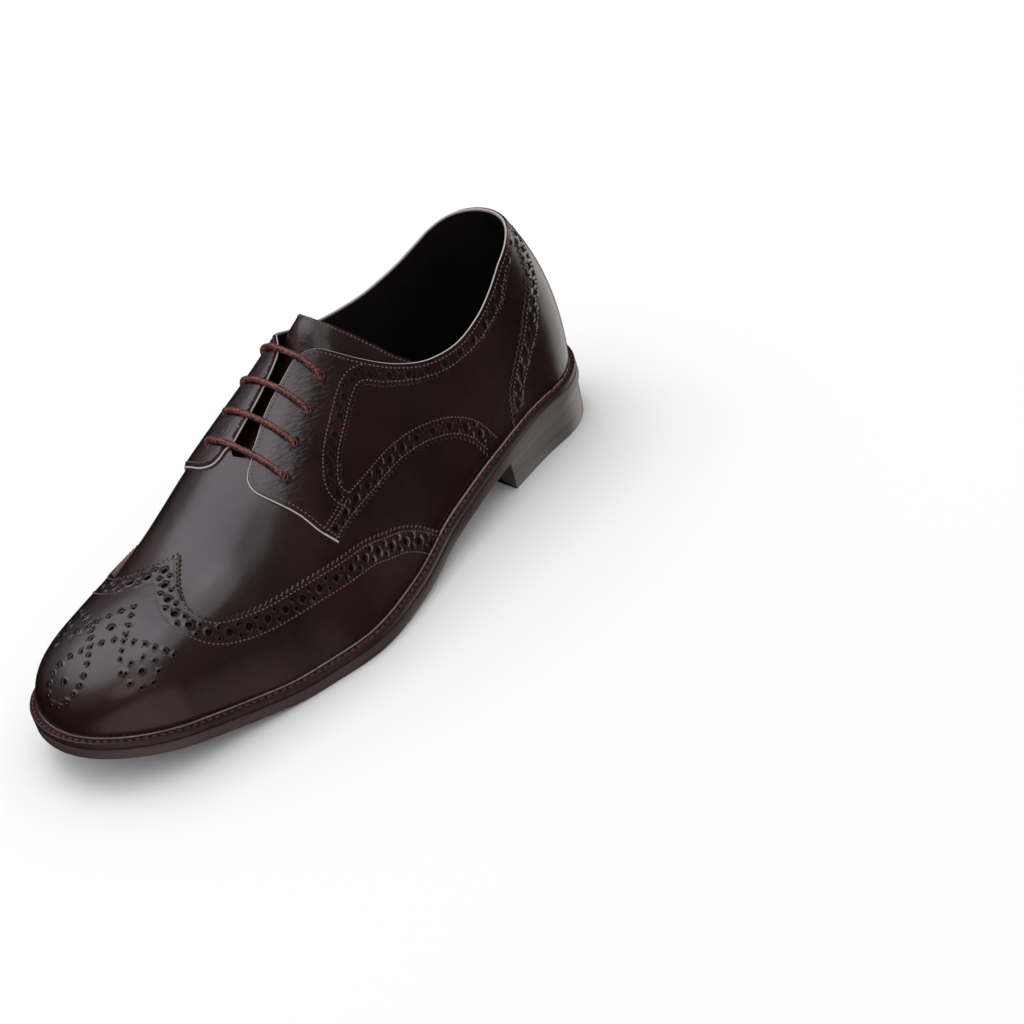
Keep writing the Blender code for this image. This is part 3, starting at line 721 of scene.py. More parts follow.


# %% [markdown]
# ## The edges that the panels follow
#
# The outlines were set as shares of the length and of the way up, until they crossed the
# photograph's own edges. The medial side repeats the lateral one.

# %% Edges on the lateral side, as (along, up)
WING_EDGE = (
    (0.402, 0.000),
    (0.430, 0.075),
    (0.463, 0.142),
    (0.499, 0.192),
    (0.538, 0.247),
    (0.618, 0.331),
    (0.683, 0.408),
    (0.742, 0.500),
    (0.772, 0.572),
    (0.783, 0.660),
    (0.783, 0.758),
    (0.765, 0.869),
    (0.745, 0.940),
    (0.722, 1.000),
)
FACING_FRONT = (
    (0.578, 0.884),
    (0.588, 0.879),
    (0.600, 0.860),
    (0.607, 0.810),
    (0.606, 0.747),
    (0.601, 0.667),
    (0.592, 0.553),
    (0.584, 0.436),
    (0.570, 0.336),
)
QUARTER_FOOT = (
    (0.570, 0.336),
    (0.534, 0.326),
    (0.484, 0.297),
    (0.432, 0.264),
    (0.383, 0.222),
    (0.341, 0.180),
    (0.309, 0.139),
    (0.281, 0.081),
    (0.261, 0.000),
)
FACING_REAR = (
    (0.505, 0.390),
    (0.511, 0.430),
    (0.497, 0.467),
    (0.476, 0.494),
    (0.456, 0.506),
    (0.437, 0.514),
    (0.415, 0.522),
    (0.391, 0.514),
    (0.367, 0.439),
    (0.339, 0.375),
    (0.311, 0.325),
    (0.281, 0.289),
    (0.255, 0.269),
    (0.220, 0.256),
    (0.197, 0.253),
    (0.168, 0.258),
    (0.138, 0.275),
    (0.119, 0.306),
    (0.102, 0.344),
    (0.076, 0.378),
    (0.050, 0.385),
)
COUNTER_EDGE = (
    (0.054, 0.420),
    (0.066, 0.385),
    (0.080, 0.322),
    (0.087, 0.286),
    (0.102, 0.240),
    (0.125, 0.180),
    (0.156, 0.130),
    (0.184, 0.080),
    (0.199, 0.000),
)
TONGUE_EDGE = (
    (0.369, 1.000),
    (0.367, 0.900),
    (0.358, 0.760),
    (0.340, 0.600),
    (0.318, 0.460),
    (0.298, 0.370),
    (0.330, 0.340),
    (0.385, 0.440),
    (0.480, 0.560),
    (0.560, 0.620),
    (0.620, 0.720),
    (0.630, 1.000),
)
# along, lateral and medial share of the way up
EYELETS = (
    (0.430, 0.725, 0.750),
    (0.478, 0.725, 0.745),
    (0.526, 0.725, 0.760),
    (0.571, 0.705, 0.760),
)

# %% Runs along the edges
WING = rounded(WING_EDGE)
FOOT = rounded(QUARTER_FOOT)
REAR = rounded(FACING_REAR)
COUNTER_RUN = rounded(COUNTER_EDGE)
QUARTER_END = 0.030 * SOLE_LENGTH
THROAT_TOP = 0.563 * SOLE_LENGTH
CORNER_SHIFT = 0.055
CORNER_LOW, CORNER_HIGH = 0.70, 0.88
for run_name, run in (("wing", WING), ("foot", FOOT), ("rear", REAR), ("counter", COUNTER_RUN)):
    print(f"{run_name} edge: {lengths(run)[-1] / MM:.0f} mm a side")


def front_run(side):
    """The facing's front edge, as lateral places. The medial corner lies nearer the ridge."""
    run = rounded(FACING_FRONT)
    if side < 0:
        share = np.clip((run[:, 1] - CORNER_LOW) / (CORNER_HIGH - CORNER_LOW), 0, None)
        run = np.stack((run[:, 0], run[:, 1] + CORNER_SHIFT * share), 1)
    return run


def on_side(run, side):
    return run if side > 0 else medial(run)


def up_on(side, w):
    """A share of the way up on one side, as the form counts it."""
    return w if side > 0 else 2 - w


def holes_on(holes, side):
    return [(s, up_on(side, v), r) for s, v, r in holes]


def edge_top(side, start, end):
    """The collar and throat edge as lateral places."""
    s = np.arange(start, end, 1.0 * MM)
    return np.stack((s, top_edge(s, side)), 1)


def inward(run, distance, turns=1):
    """A lateral run moved to its right."""
    return moved(run, -distance, turns)


def seat_run(start, end, step=2 * MM):
    """The feather line between two stations."""
    count = max(int(abs(end - start) / step), 2)
    return np.stack((np.linspace(start, end, count), np.zeros(count)), 1)


def upright_run(s, start, end, count):
    """Places at one station between two shares of the way up, without the two themselves."""
    return np.stack((np.full(count, s), np.linspace(start, end, count + 2)[1:-1]), 1)


# %% [markdown]
# ## The lasted upper
#
# Vamp and quarters are first pulled over the last as a bag of leather. The other panels lie on it. It is
# a plain grid on the form, closed along the ridge ahead of the throat, and the lining is the same grid a
# wall's thickness inside, drawn close to the edge at the top so that the collar looks as thin as folded
# leather.

# %% Upper and lining
BAG_ROWS, OPEN_COLUMNS, CLOSED_COLUMNS = 60, 150, 90
LINING_GAP = 0.1 * MM
EDGE_WALL = 0.3 * MM
EDGE_FADE = 2.5 * MM


def seam_top(s, side):
    """The top edge, the same for both sides at the heel, where the two grids meet."""
    return np.where(np.abs(s) > 0, top_edge(s, side), top_edge(s, 1))


def bag(name, lift_at, inwards=False):
    """A grid over both sides of the form, from the feather line to the top edge."""
    open_part = np.linspace(0, OPEN_TO, OPEN_COLUMNS)
    closed_part = station_of(OPEN_TO) + (LAST_STATION - OPEN_TO) * np.linspace(0, 1, CLOSED_COLUMNS)[1:]
    s = np.concatenate((open_part, closed_part))
    points, normals, faces = [], [], []
    for side in (1, -1):
        w = seam_top(s, side)[:, None] * np.linspace(0, 1, BAG_ROWS)[None]
        places = np.stack((np.repeat(s, BAG_ROWS), up_on(side, w).ravel()), 1)
        lift = lift_at(places, side)
        start = len(points) * len(s) * BAG_ROWS
        points.append(form(places, lift))
        beside_seam = np.maximum(places[:, 0], PROBE[0])
        normals.append(outward(np.stack((beside_seam, places[:, 1]), 1)))
        for i in range(len(s) - 1):
            for j in range(BAG_ROWS - 1):
                a = start + i * BAG_ROWS + j
                quad = (a, a + 1, a + BAG_ROWS + 1, a + BAG_ROWS)
                if (side < 0) != inwards:
                    quad = quad[::-1]
                faces.append(quad)
    normals = np.vstack(normals) * (-1 if inwards else 1)
    return new_piece(name, np.vstack(points), faces, normals)


def lining_lift(places, side):
    """A wall's thickness inside, and close under the leather near the top edge."""
    w = np.where(places[:, 1] > 1, 2 - places[:, 1], places[:, 1])
    edge = seam_top(places[:, 0], side)
    gap = (edge - w) * way_up(np.abs(places[:, 0]))
    opening = along_of(places[:, 0]) < OPEN_TO
    near = np.exp(-gap / EDGE_FADE) * opening
    return -(WALL - LINING_GAP) * (1 - near) - EDGE_WALL * near


upper_bag = bag("upper_leather_bag", lambda places, side: np.zeros(len(places)))
lining = bag("lining", lining_lift, inwards=True)
print("upper:", len(upper_bag.data.polygons), "faces; lining:", len(lining.data.polygons))

# %% [markdown]
# ## Wing cap
#
# The cap that names the shoe: its edge sweeps back along both sides and up to a point on the vamp. It is
# gimped, then stitched, then punched with a band of holes, then stitched again. The toe carries a
# medallion, a figure of small holes. This one is drawn freely from arcs of dots, the same left and right,
# as the traditional ones are.

# %% Lifts of the panels, and distances of rows and bands from the edges
WING_TOP = 1.7 * MM
QUARTER_TOP = 1.0 * MM
FACING_TOP = 1.6 * MM
COUNTER_TOP = 1.7 * MM
ROW_IN, BAND_IN, INNER_IN = 1.8 * MM, 6.0 * MM, 10.6 * MM
FOOT_BAND, FOOT_INNER = 5.0 * MM, 8.9 * MM
REAR_BAND, REAR_INNER = 4.4 * MM, 8.4 * MM
COUNTER_BAND, COUNTER_INNER = 4.4 * MM, 7.8 * MM
print(f"the wing's band lies {BAND_IN / MM:.1f} mm inside its edge, between rows at "
      f"{ROW_IN / MM:.1f} and {INNER_IN / MM:.1f} mm")  # fmt: skip

# %% Medallion
# forward of the medallion's middle and sideways from the toe's axis, in millimetres
MEDALLION = (
    (-12, 0), (-8, 3), (-4, 6.6), (0, 9.7), (2.5, 11.5), (6, 15.1), (9, 17.9), (13, 22.8),
    (20, 8.5), (16, 5.8), (13, 2.8), (10, 0), (7, 3.8), (4, 7.5), (3, 11.7), (1, 15.6),
    (-1, 20), (-2, 24.5), (-4, 28.3), (-5, 31.8), (23.5, 9.5), (27, 8.3), (30, 6.5), (32, 2.5),
)  # fmt: skip
FLOWERS = ((0, 0), (8, 29), (25, 0))
FLOWER_RING, FLOWER_DOTS = 6.0, 8
DOT, FLOWER_MIDDLE, PETAL = 0.72 * MM, 1.15 * MM, 0.65 * MM
MEDALLION_MIDDLE = 0.8645 * SOLE_LENGTH
TOE_AXIS = np.array(((249, 3.9), (261, 2.2), (271, -0.7), (285, -4.0), (296, -5.0))) * MM


def toe_place(forward, aside):
    """The place on the form that lies forward and aside of the medallion's middle, seen from above."""
    x = min(MEDALLION_MIDDLE + forward * MM, SOLE_LENGTH - FOREPART_MARGIN - MM)
    y = np.interp(x, TOE_AXIS[:, 0], TOE_AXIS[:, 1]) + aside * MM
    s = float(station_of(x))
    low, high = 0.15, 1.85
    for _ in range(24):
        middle = (low + high) / 2
        if form((s, middle), WING_TOP)[0, 1] + ORIGIN[1] > y:
            low = middle
        else:
            high = middle
    return s, (low + high) / 2


def medallion_holes():
    dots = set()
    for forward, aside in MEDALLION:
        dots |= {(forward, aside), (forward, -aside)}
    holes = [(*toe_place(f, a), DOT) for f, a in sorted(dots)]
    for forward, aside in FLOWERS:
        for turn in {aside, -aside}:
            holes.append((*toe_place(forward, turn), FLOWER_MIDDLE))
    for side in (1, -1):
        for i in range(FLOWER_DOTS):
            angle = i / FLOWER_DOTS * 2 * np.pi
            forward = FLOWERS[1][0] + FLOWER_RING * np.cos(angle)
            aside = FLOWERS[1][1] + FLOWER_RING * np.sin(angle)
            holes.append((*toe_place(forward, side * aside), PETAL))
    return holes


# %% Bands of holes
def band(run, big=1.5 * MM, small=0.75 * MM, aside=2.3 * MM, pitch=8.6 * MM, start=4 * MM, end=0.0):
    """The punched holes of a band, big ones at both ends of the run."""
    free = lengths(run)[-1] - start - end
    count = max(int(round(free / pitch)), 1)
    at = spaced(run, free / (2 * count), start, end)
    holes = [(s, v, big) for s, v in at[::2]]
    for turn in (aside, -aside):
        holes += [(s, v, small) for s, v in moved(at, turn)[1::2]]
    return holes


def below_ridge(run):
    return run[run[:, 1] <= 1.0]


def apart(holes, gap=0.7 * MM):
    """Holes that keep a bridge of leather between them. The earlier one of a close pair stays."""
    kept, centres = [], []
    for hole in holes:
        centre = form(hole[:2])[0]
        if all(np.linalg.norm(centre - c) > r + hole[2] + gap for c, r in centres):
            kept.append(hole)
            centres.append((centre, hole[2]))
    return kept


def wing_rows(distance):
    """A run at a distance inside the wing's edge, cut at the ridge so that both sides meet in a point."""
    long_edge = np.vstack([WING, WING[-1:] + (WING[-1:] - WING[-2:-1]) * np.arange(1, 9)[:, None]])
    run = inward(long_edge, distance, 3)
    cut = below_ridge(run)
    after = run[len(cut)] if len(cut) < len(run) else cut[-1]
    share = (1 - cut[-1, 1]) / max(after[1] - cut[-1, 1], 1e-6)
    return np.vstack([cut, cut[-1] + (after - cut[-1]) * share])


# %% Wing cap
TOE_PLACES = 7
wing_gimp = gimped(WING)
wing_gimp[-1] = WING[-1]
toe_end = upright_run(LAST_STATION, 2, 0, TOE_PLACES)
cap_seat = seat_run(WING[0, 0], LAST_STATION)
cap_outline = np.vstack([cap_seat[:-1], [(LAST_STATION, 0.0)], toe_end[::-1], [(LAST_STATION, 2.0)],
                         medial(cap_seat)[::-1][1:-1], medial(wing_gimp), wing_gimp[::-1][1:-1]])  # fmt: skip
cap_band = band(wing_rows(BAND_IN))
cap_holes = apart(cap_band + holes_on(cap_band, -1) + medallion_holes())
wing_cap = panel("wing_cap_leather", cap_outline, cap_holes, WING_TOP)

# %% [markdown]
# ## Quarters and facings
#
# A derby's quarters lie on the vamp and are laced over the tongue. Each quarter is one panel with a
# gimped and punched foot; a second piece lies on it, the facing, which runs on as the collar band. Its
# rear edge is gimped and punched as well, and its front edge is folded.

# %% Quarters, facings and eyelets
EYELET = 1.9 * MM
MEDIAL_DRAW = 0.04
COLLAR_BRIDGE = 1.3 * MM
SEAT_BRIDGE = 0.03
FACING_LOW = 0.40
FACING_FOOT = ((0.533, 0.382), (0.560, 0.385))
FACING_BASE = QUARTER_TOP - 0.05 * MM
REAR_PLACES = 30


def eyelet(number, side):
    """Station and share of the way up of an eyelet. The lace draws the medial ones towards the throat."""
    a, lateral, other = EYELETS[number]
    return a * SOLE_LENGTH, lateral if side > 0 else other + MEDIAL_DRAW


def eyelet_holes(side):
    return [(*eyelet(number, side), EYELET) for number in range(len(EYELETS))]


def above_seat(holes):
    """The holes of a lateral band that stay clear of the welt."""
    return [hole for hole in holes if hole[1] > SEAT_BRIDGE]


def under_collar(holes, side):
    """The holes of a lateral band that leave a bridge of leather to the collar's edge."""
    kept = []
    for s, v, r in holes:
        room = (top_edge(np.array([s]), side)[0] - v) * way_up(s)
        if room > r + COLLAR_BRIDGE:
            kept.append((s, v, r))
    return kept


def quarter(side):
    foot = gimped(FOOT)
    seat = seat_run(QUARTER_END, foot[-1, 0])
    top = edge_top(side, QUARTER_END, THROAT_TOP)
    rear = upright_run(QUARTER_END, top[0, 1], 0, REAR_PLACES)
    outline = np.vstack([seat[:-1], foot[::-1], front_run(side)[::-1][1:], top[::-1], rear])
    holes = above_seat(band(inward(FOOT, FOOT_BAND, 2), end=3 * MM) + eyelet_holes(side))
    name = "quarter_lateral_leather" if side > 0 else "quarter_medial_leather"
    return panel(name, on_side(outline, side), apart(holes_on(holes, side)), QUARTER_TOP)


def facing(side):
    rear = gimped(REAR, 2.0 * MM, 0.7 * MM)
    front = front_run(side)
    front = front[front[:, 1] > FACING_LOW]
    top = edge_top(side, REAR[-1, 0], THROAT_TOP)
    foot = np.array([(a * SOLE_LENGTH, w) for a, w in FACING_FOOT])
    outline = np.vstack([rear[::-1], foot, front[::-1], top[::-1]])
    rear_band = band(inward(REAR, REAR_BAND, 2), start=5 * MM, end=4 * MM)
    holes = under_collar(rear_band, side) + eyelet_holes(side)
    name = "facing_lateral_leather" if side > 0 else "facing_medial_leather"
    return panel(name, on_side(outline, side), apart(holes_on(holes, side)), FACING_TOP, FACING_BASE)


quarters = [quarter(side) for side in (1, -1)]
facings = [facing(side) for side in (1, -1)]

# %% [markdown]
# ## Heel counter
#
# The counter wraps the heel from one side to the other in one piece, with the same gimped and punched
# edge at both ends. It reaches the collar at the back, where a small stitched tab takes the pull of a
# shoehorn.

# %% Counter
counter_gimp = gimped(COUNTER_RUN)
counter_top = edge_top(1, 0.0, COUNTER_RUN[0, 0])
mirror = np.array((-1.0, 1.0))
collar_back = np.vstack([counter_top[::-1], (counter_top * mirror)[1:]])
counter_seat = seat_run(-COUNTER_RUN[-1, 0], COUNTER_RUN[-1, 0])
far_gimp = (counter_gimp * mirror)[:-1]
counter_outline = np.vstack([counter_seat[:-1], counter_gimp[::-1], collar_back, far_gimp])
counter_band = above_seat(band(inward(COUNTER_RUN, COUNTER_BAND, 2), pitch=7.6 * MM, end=3 * MM))
counter_holes = apart(counter_band + [(-s, v, r) for s, v, r in counter_band])
counter = panel("heel_counter_leather", counter_outline, counter_holes, COUNTER_TOP)

# %% [markdown]
# ## Tongue
#
# A plain tongue closes the throat. It lies deep enough under the facings to leave room for the lace, and
# rises where it leaves them at the back. A few soft folds near its top are added to its lift. It is the
# only panel that is seen from both sides, so it is closed underneath.

# %% Tongue
TONGUE_THICKNESS = 1.6 * MM
LACE_RADIUS = 1.45 * MM
LACE_CLEARANCE = 0.7 * MM
FIT_GAP = 0.5 * MM
DIP_START, DIP_RUN = 0.606, 0.034
BACK_START, BACK_RUN = 0.425, 0.045
BACK_RISE = 3.5 * MM
FOLD_DEPTH, FOLD_LENGTH = 0.12 * MM, 2.1 * MM
FOLD_SLANT, FOLD_COUNT = 9, 23


def tongue_top(places):
    """The tongue's lift: it dips under the facings, rises behind them and is folded a little there."""
    room = 2 * (LACE_RADIUS + LACE_CLEARANCE)
    share = np.clip((DIP_START * SOLE_LENGTH - along_of(places[:, 0])) / (DIP_RUN * SOLE_LENGTH), 0, 1)
    lift = -(WALL + FIT_GAP + room * share**2 * (3 - 2 * share))
    back = np.clip((BACK_START * SOLE_LENGTH - places[:, 0]) / (BACK_RUN * SOLE_LENGTH), 0, 1)
    back = back**2 * (3 - 2 * back)
    lift = lift + BACK_RISE * back
    slanted = np.sin(places[:, 0] / FOLD_LENGTH + FOLD_SLANT * places[:, 1])
    fold = slanted * np.sin(places[:, 1] * FOLD_COUNT + 1)
    return lift + FOLD_DEPTH * back * fold


def tongue_base(places):
    return tongue_top(places) - TONGUE_THICKNESS


tongue_edge = rounded(TONGUE_EDGE)
tongue_outline = np.vstack([tongue_edge, medial(tongue_edge)[::-1][1:-1]])
tongue = panel("tongue_leather", tongue_outline, [], tongue_top, tongue_base, closed=True)

# %% [markdown]
# ## Stitching
#
# Rows follow the panels' own edges at the distances a closer would use: close to the gimp, and again
# behind the band of holes. The facing's folded edge and the collar have one row each, and a short double
# row of bar tacks holds the quarter's front corner.

# %% Tools for stitch rows
STITCH = 1.9 * MM


def row(run, lift, pitch=STITCH, start=0.0, end=0.0):
    places = spaced(run, pitch, start, end)
    return form(places, lift), outward(places)


def both(run):
    return [run, medial(run)]


def grounded(run, low=0.02):
    return run[run[:, 1] > low]


def below_collar(run, gap=0.03):
    """The part of a lateral run that stays under both collars' edges."""
    edge = np.minimum(top_edge(run[:, 0], 1), top_edge(run[:, 0], -1))
    return run[run[:, 1] < edge - gap]


# %% Stitches of the wing, the quarters and the facings
FRONT_ROW, TOP_ROW = 1.7 * MM, 1.8 * MM
BAR_TACKS = (((0.578, 0.425), (0.520, 0.405)), ((0.576, 0.405), (0.520, 0.387)))
cap_rows = [row(r, WING_TOP) for d in (ROW_IN, INNER_IN) for r in both(wing_rows(d))]
cap_stitches = stitches("wing_cap_stitches", cap_rows)
quarter_rows = []
for d in (ROW_IN, FOOT_INNER):
    for r in both(grounded(inward(FOOT, d, 2))):
        quarter_rows.append(row(r, QUARTER_TOP))
for d in (ROW_IN, REAR_INNER):
    for r in both(below_collar(inward(REAR, d, 2))):
        quarter_rows.append(row(r, FACING_TOP))
for side in (1, -1):
    front = front_run(side)
    top = edge_top(side, COUNTER_RUN[0, 0], THROAT_TOP)
    quarter_rows.append(row(on_side(inward(front, FRONT_ROW), side), FACING_TOP, start=MM))
    quarter_rows.append(row(on_side(inward(top, TOP_ROW, 2), side), FACING_TOP))
    for tack in BAR_TACKS:
        ends = np.array(tack) * (SOLE_LENGTH, 1.0)
        quarter_rows.append(row(on_side(ends, side), FACING_TOP))
quarter_stitches = stitches("quarter_stitches", quarter_rows)

# %% Stitches of the counter, its tab and the tongue
TAB_SIDES = (6.0 * MM, 4.2 * MM)
TAB_TAPER = 0.72
TAB_START, TAB_END = 0.02, 0.15
TAB_HALF = 4.3 * MM
TONGUE_ROW, TONGUE_ROW_PLACES = 1.4 * MM, 40
counter_rows = []
for d in (ROW_IN, COUNTER_INNER):
    r = grounded(inward(COUNTER_RUN, d, 2))
    counter_rows += [row(r, COUNTER_TOP), row(r * mirror, COUNTER_TOP)]
back_row = inward(counter_top, TOP_ROW)
counter_rows += [row(back_row, COUNTER_TOP), row(back_row * mirror, COUNTER_TOP)]
top_height = float(top_edge(np.array([0.0]), 1)[0])
for s in TAB_SIDES:
    tab = np.array(((s, top_height - TAB_START), (s * TAB_TAPER, top_height - TAB_END)))
    counter_rows += [row(tab, COUNTER_TOP), row(tab * mirror, COUNTER_TOP)]
tab_foot = np.array(((-TAB_HALF, top_height - TAB_END), (TAB_HALF, top_height - TAB_END)))
counter_rows.append(row(tab_foot, COUNTER_TOP))
counter_stitches = stitches("counter_stitches", counter_rows)
tongue_row = moved(tongue_edge[:TONGUE_ROW_PLACES], TONGUE_ROW, 2)
tongue_rows = []
for r in both(tongue_row[tongue_row[:, 1] < 1.0]):
    places = spaced(r, STITCH)
    tongue_rows.append((form(places, tongue_top(places)), outward(places)))
tongue_stitches = stitches("tongue_stitches", tongue_rows)

# %% [markdown]
# ## Edges and rand
#
# The cut edges of collar, throat and facings show as one thin pale line, a painted highlight, and the rand,
# a narrow strip between the upper and the welt, is painted pale grey as its highlight too. Both are thin
# round tubes on runs of the form.

# %% Edge line and rand
EDGE_RADIUS, EDGE_LIFT = 0.45 * MM, 0.75 * MM
RAND_RADIUS, RAND_LIFT, RAND_SINK = 0.48 * MM, 1.3 * MM, 0.3 * MM


def edge_points(side):
    """The line down one side's folded edge, from the facing's foot to the back of the collar."""
    front, top = front_run(side), edge_top(side, 0.5 * MM, THROAT_TOP)
    run = spaced(np.vstack([front[::-1], top[::-1]]), MM)
    return form(on_side(run, side), EDGE_LIFT)


# The pale edge line is a painted highlight along the folded edges of collar, throat and facings.
edge_highlight_line = tube("edge_highlight_line", np.vstack([edge_points(1), edge_points(-1)[::-1]]), EDGE_RADIUS, 8)
feather = seat_run(MM, LAST_STATION, 1.5 * MM)
rand_points = np.vstack([form(feather, RAND_LIFT), form(medial(feather)[::-1], RAND_LIFT)])
rand_points[:, 2] -= SEAT_GAP - RAND_RADIUS + RAND_SINK
# The rand's finish is painted pale grey as its highlight.
rand = tube("rand", rand_points, RAND_RADIUS, 8, closed=True)
print("edge line and rand:", len(edge_highlight_line.data.polygons) + len(rand.data.polygons), "faces")

# %% [markdown]
# ## Eyelets and lace
#
# There are no metal eyelets: each hole has a rolled leather rim. The lace is one round waxed strand. Its
# route repeats the solid's: up through an eyelet, straight over the throat, down on the other side, and
# on under the facing. Two sets of strands crossing at an angle make the braid, as a swell of the tube's
# radius. The strands' own fine pattern is left to the finish.

# %% Eyelet rims
RIM_RADIUS, RIM_LIFT, RIM_OVERLAP = 0.34 * MM, 0.05 * MM, 0.1 * MM


def at_place(s, w, side, lift=0.0):
    return form((s, up_on(side, w)), lift)[0]


def normal_at(s, w, side):
    return outward((s, up_on(side, w)))[0]


rims = []
for number in range(len(EYELETS)):
    for side in (1, -1):
        s, w = eyelet(number, side)
        circle = ring((s, up_on(side, w)), EYELET - RIM_OVERLAP, 24)
        name = f"eyelet_rim_{number + 1}_{'lateral' if side > 0 else 'medial'}"
        rims.append(tube(name, form(circle, FACING_TOP + RIM_LIFT), RIM_RADIUS, 8, closed=True))
print(len(rims), "rims round holes", round(2 * EYELET / MM, 1), "mm wide")

# %% Route of the lace
HIDDEN_DROP = 0.06
BAR_MARKS = (0.12, 0.5, 0.85)
BAR_DRIFT = 0.4
LACE_SINK = 0.1 * MM
OVER = FACING_TOP + LACE_RADIUS - LACE_SINK
UNDER = -(WALL + LACE_CLEARANCE + LACE_RADIUS)
rising = (UNDER, UNDER / 2, 0.0, 0.6 * OVER)
side = -1
route = []
for number in range(len(EYELETS)):
    for which, heights in ((side, rising), (-side, rising[::-1])):
        s, w = eyelet(number, which)
        if which != side:
            (s0, w0), (s1, w1) = eyelet(number, side), eyelet(number, -side)
            for share in BAR_MARKS:
                up = w0 + (top_edge(np.array([s0]), side)[0] - w0) * share
                route.append(at_place(s0 + (s1 - s0) * share * BAR_DRIFT, up, side, OVER))
            for share in BAR_MARKS[::-1]:
                up = w1 + (top_edge(np.array([s1]), -side)[0] - w1) * share
                route.append(at_place(s1 + (s0 - s1) * share * BAR_DRIFT, up, -side, OVER))
        route += [at_place(s, w, which) + normal_at(s, w, which) * height for height in heights]
    side = -side
for number in range(len(EYELETS))[::-1]:
    s, w = eyelet(number, side)
    route.append(at_place(s, w - HIDDEN_DROP, side, UNDER))
print("the lace's route:", len(route), "places")


# %% Lace
LACE_STEP = 0.3 * MM
CURVE_STEPS = 12
BRAID_TURN = 7.0 * MM
BRAID_LOW, BRAID_RISE = 0.82, 0.18


def smoothed(points, pitch):
    """A smooth curve through 3-D points, at an even pitch."""
    points = np.array(points)
    padded = np.vstack([points[:1], points, points[-1:]])
    t = np.arange(CURVE_STEPS)[:, None] / CURVE_STEPS
    run = [between(*four, t) for four in zip(padded, padded[1:], padded[2:], padded[3:])]
    run = np.vstack(run + [points[-1:]])
    far = distances(run)
    return read_at(np.linspace(0, far[-1], int(far[-1] / pitch)), far, run)


def braid(length, angle):
    """Share of the radius: two sets of strands winding both ways."""
    turn = 2 * np.pi * length[:, None] / BRAID_TURN
    one = np.abs(np.sin(2 * (angle[None] + turn)))
    other = np.abs(np.sin(2 * (angle[None] - turn)))
    return BRAID_LOW + BRAID_RISE * np.maximum(one, other) ** 3


lace = tube("lace_strand", smoothed(route, LACE_STEP), LACE_RADIUS, 16, swell=braid)
print("lace:", len(lace.data.polygons), "faces")

# %% [markdown]
# ## Welt, sole and heel
#
# The sole's outline has the same formula as the last's foot. Swept profiles along it give rounded edges:
# a welt with a groove for the visible lock stitches, an outsole, and a heel whose leather lifts show as
# very faint lines.

# %% Swept profiles
REAR_STEPS, FOREPART_STEPS, TOE_STEPS, SEAT_STEPS, BREAST_STEPS = 36, 120, 48, 24, 19
SHARP_FROM = 0.7


def sole_ring(inset, end=None, hollow=0.0):
    """A closed run of (x, y) round the sole, pulled in by inset. With an end, as for the heel, it is closed
    there by a line with a hollow."""
    turn = np.linspace(0, np.pi / 2, REAR_STEPS, endpoint=False)
    rear = HEEL_AXIS - (HEEL_AXIS - inset) * np.cos(turn)
    if end is None:
        theta = np.linspace(0, np.pi / 2, TOE_STEPS)
        ahead = np.linspace(HEEL_AXIS, TOE_START, FOREPART_STEPS, endpoint=False)
        ahead = np.concatenate((ahead, TOE_START + (SOLE_LENGTH - inset - TOE_START) * np.sin(theta)))
    else:
        ahead = np.linspace(HEEL_AXIS, end, SEAT_STEPS)
    runs = []
    for side in (1, -1):
        half = sole_edge(np.array([HEEL_AXIS]), side, inset)[0]
        y = np.concatenate((half * np.sin(turn), sole_edge(ahead, side, inset)))
        runs.append(np.stack((np.concatenate((rear, ahead)), y), 1))
    lateral, other = runs
    if end is None:
        return np.vstack([lateral, other[1:-1][::-1]])
    share = np.linspace(0, 1, BREAST_STEPS + 2)[1:-1]
    y = lateral[-1, 1] * (1 - share) + other[-1, 1] * share
    across = np.stack((end - hollow * 4 * share * (1 - share), y), 1)
    return np.vstack([lateral, across, other[1:][::-1]])


def swept(name, levels, caps=(), end=None, hollow=0.0, join=False):
    """A solid from rings round the sole. levels are (inset, height as a function of x); caps are the levels
    that are closed with strips from side to side."""
    rows = []
    for inset, height in levels:
        plan = sole_ring(inset, end, hollow)
        rows.append(np.column_stack((plan, height(plan[:, 0]))) - ORIGIN)
    count = len(rows[0])
    faces = []
    for k in range(len(rows) if join else len(rows) - 1):
        low, high = k * count, (k + 1) % len(rows) * count
        for i in range(count):
            j = (i + 1) % count
            faces.append((low + i, low + j, high + j, high + i))
    for k, upwards in caps:
        base = k * count
        for i in range(count // 2):
            corners = [base + i, base + i + 1, base + (count - i - 1) % count, base + (count - i) % count]
            corners = list(dict.fromkeys(corners))
            if len(corners) > 2:
                faces.append(corners if upwards else corners[::-1])
    made = new_piece(name, np.vstack(rows), faces)
    shape = bmesh.new()
    shape.from_mesh(made.data)
    bmesh.ops.recalc_face_normals(shape, faces=shape.faces[:])
    shape.to_mesh(made.data)
    shape.free()
    made.data.set_sharp_from_angle(angle=SHARP_FROM)
    print(f"{name}: {len(faces)} faces")
    return made


def over_floor(rise):
    return lambda x: underside(x) + rise


# %% Welt with its stitched groove
WELT_SEAM, SEAM_RISE = 1.65 * MM, 2.9 * MM
WELT_PITCH, WELT_THREAD, WELT_COVER = 3.4 * MM, 0.80 * MM, 0.86
welt_base = OUTSOLE + PLATE_GAP
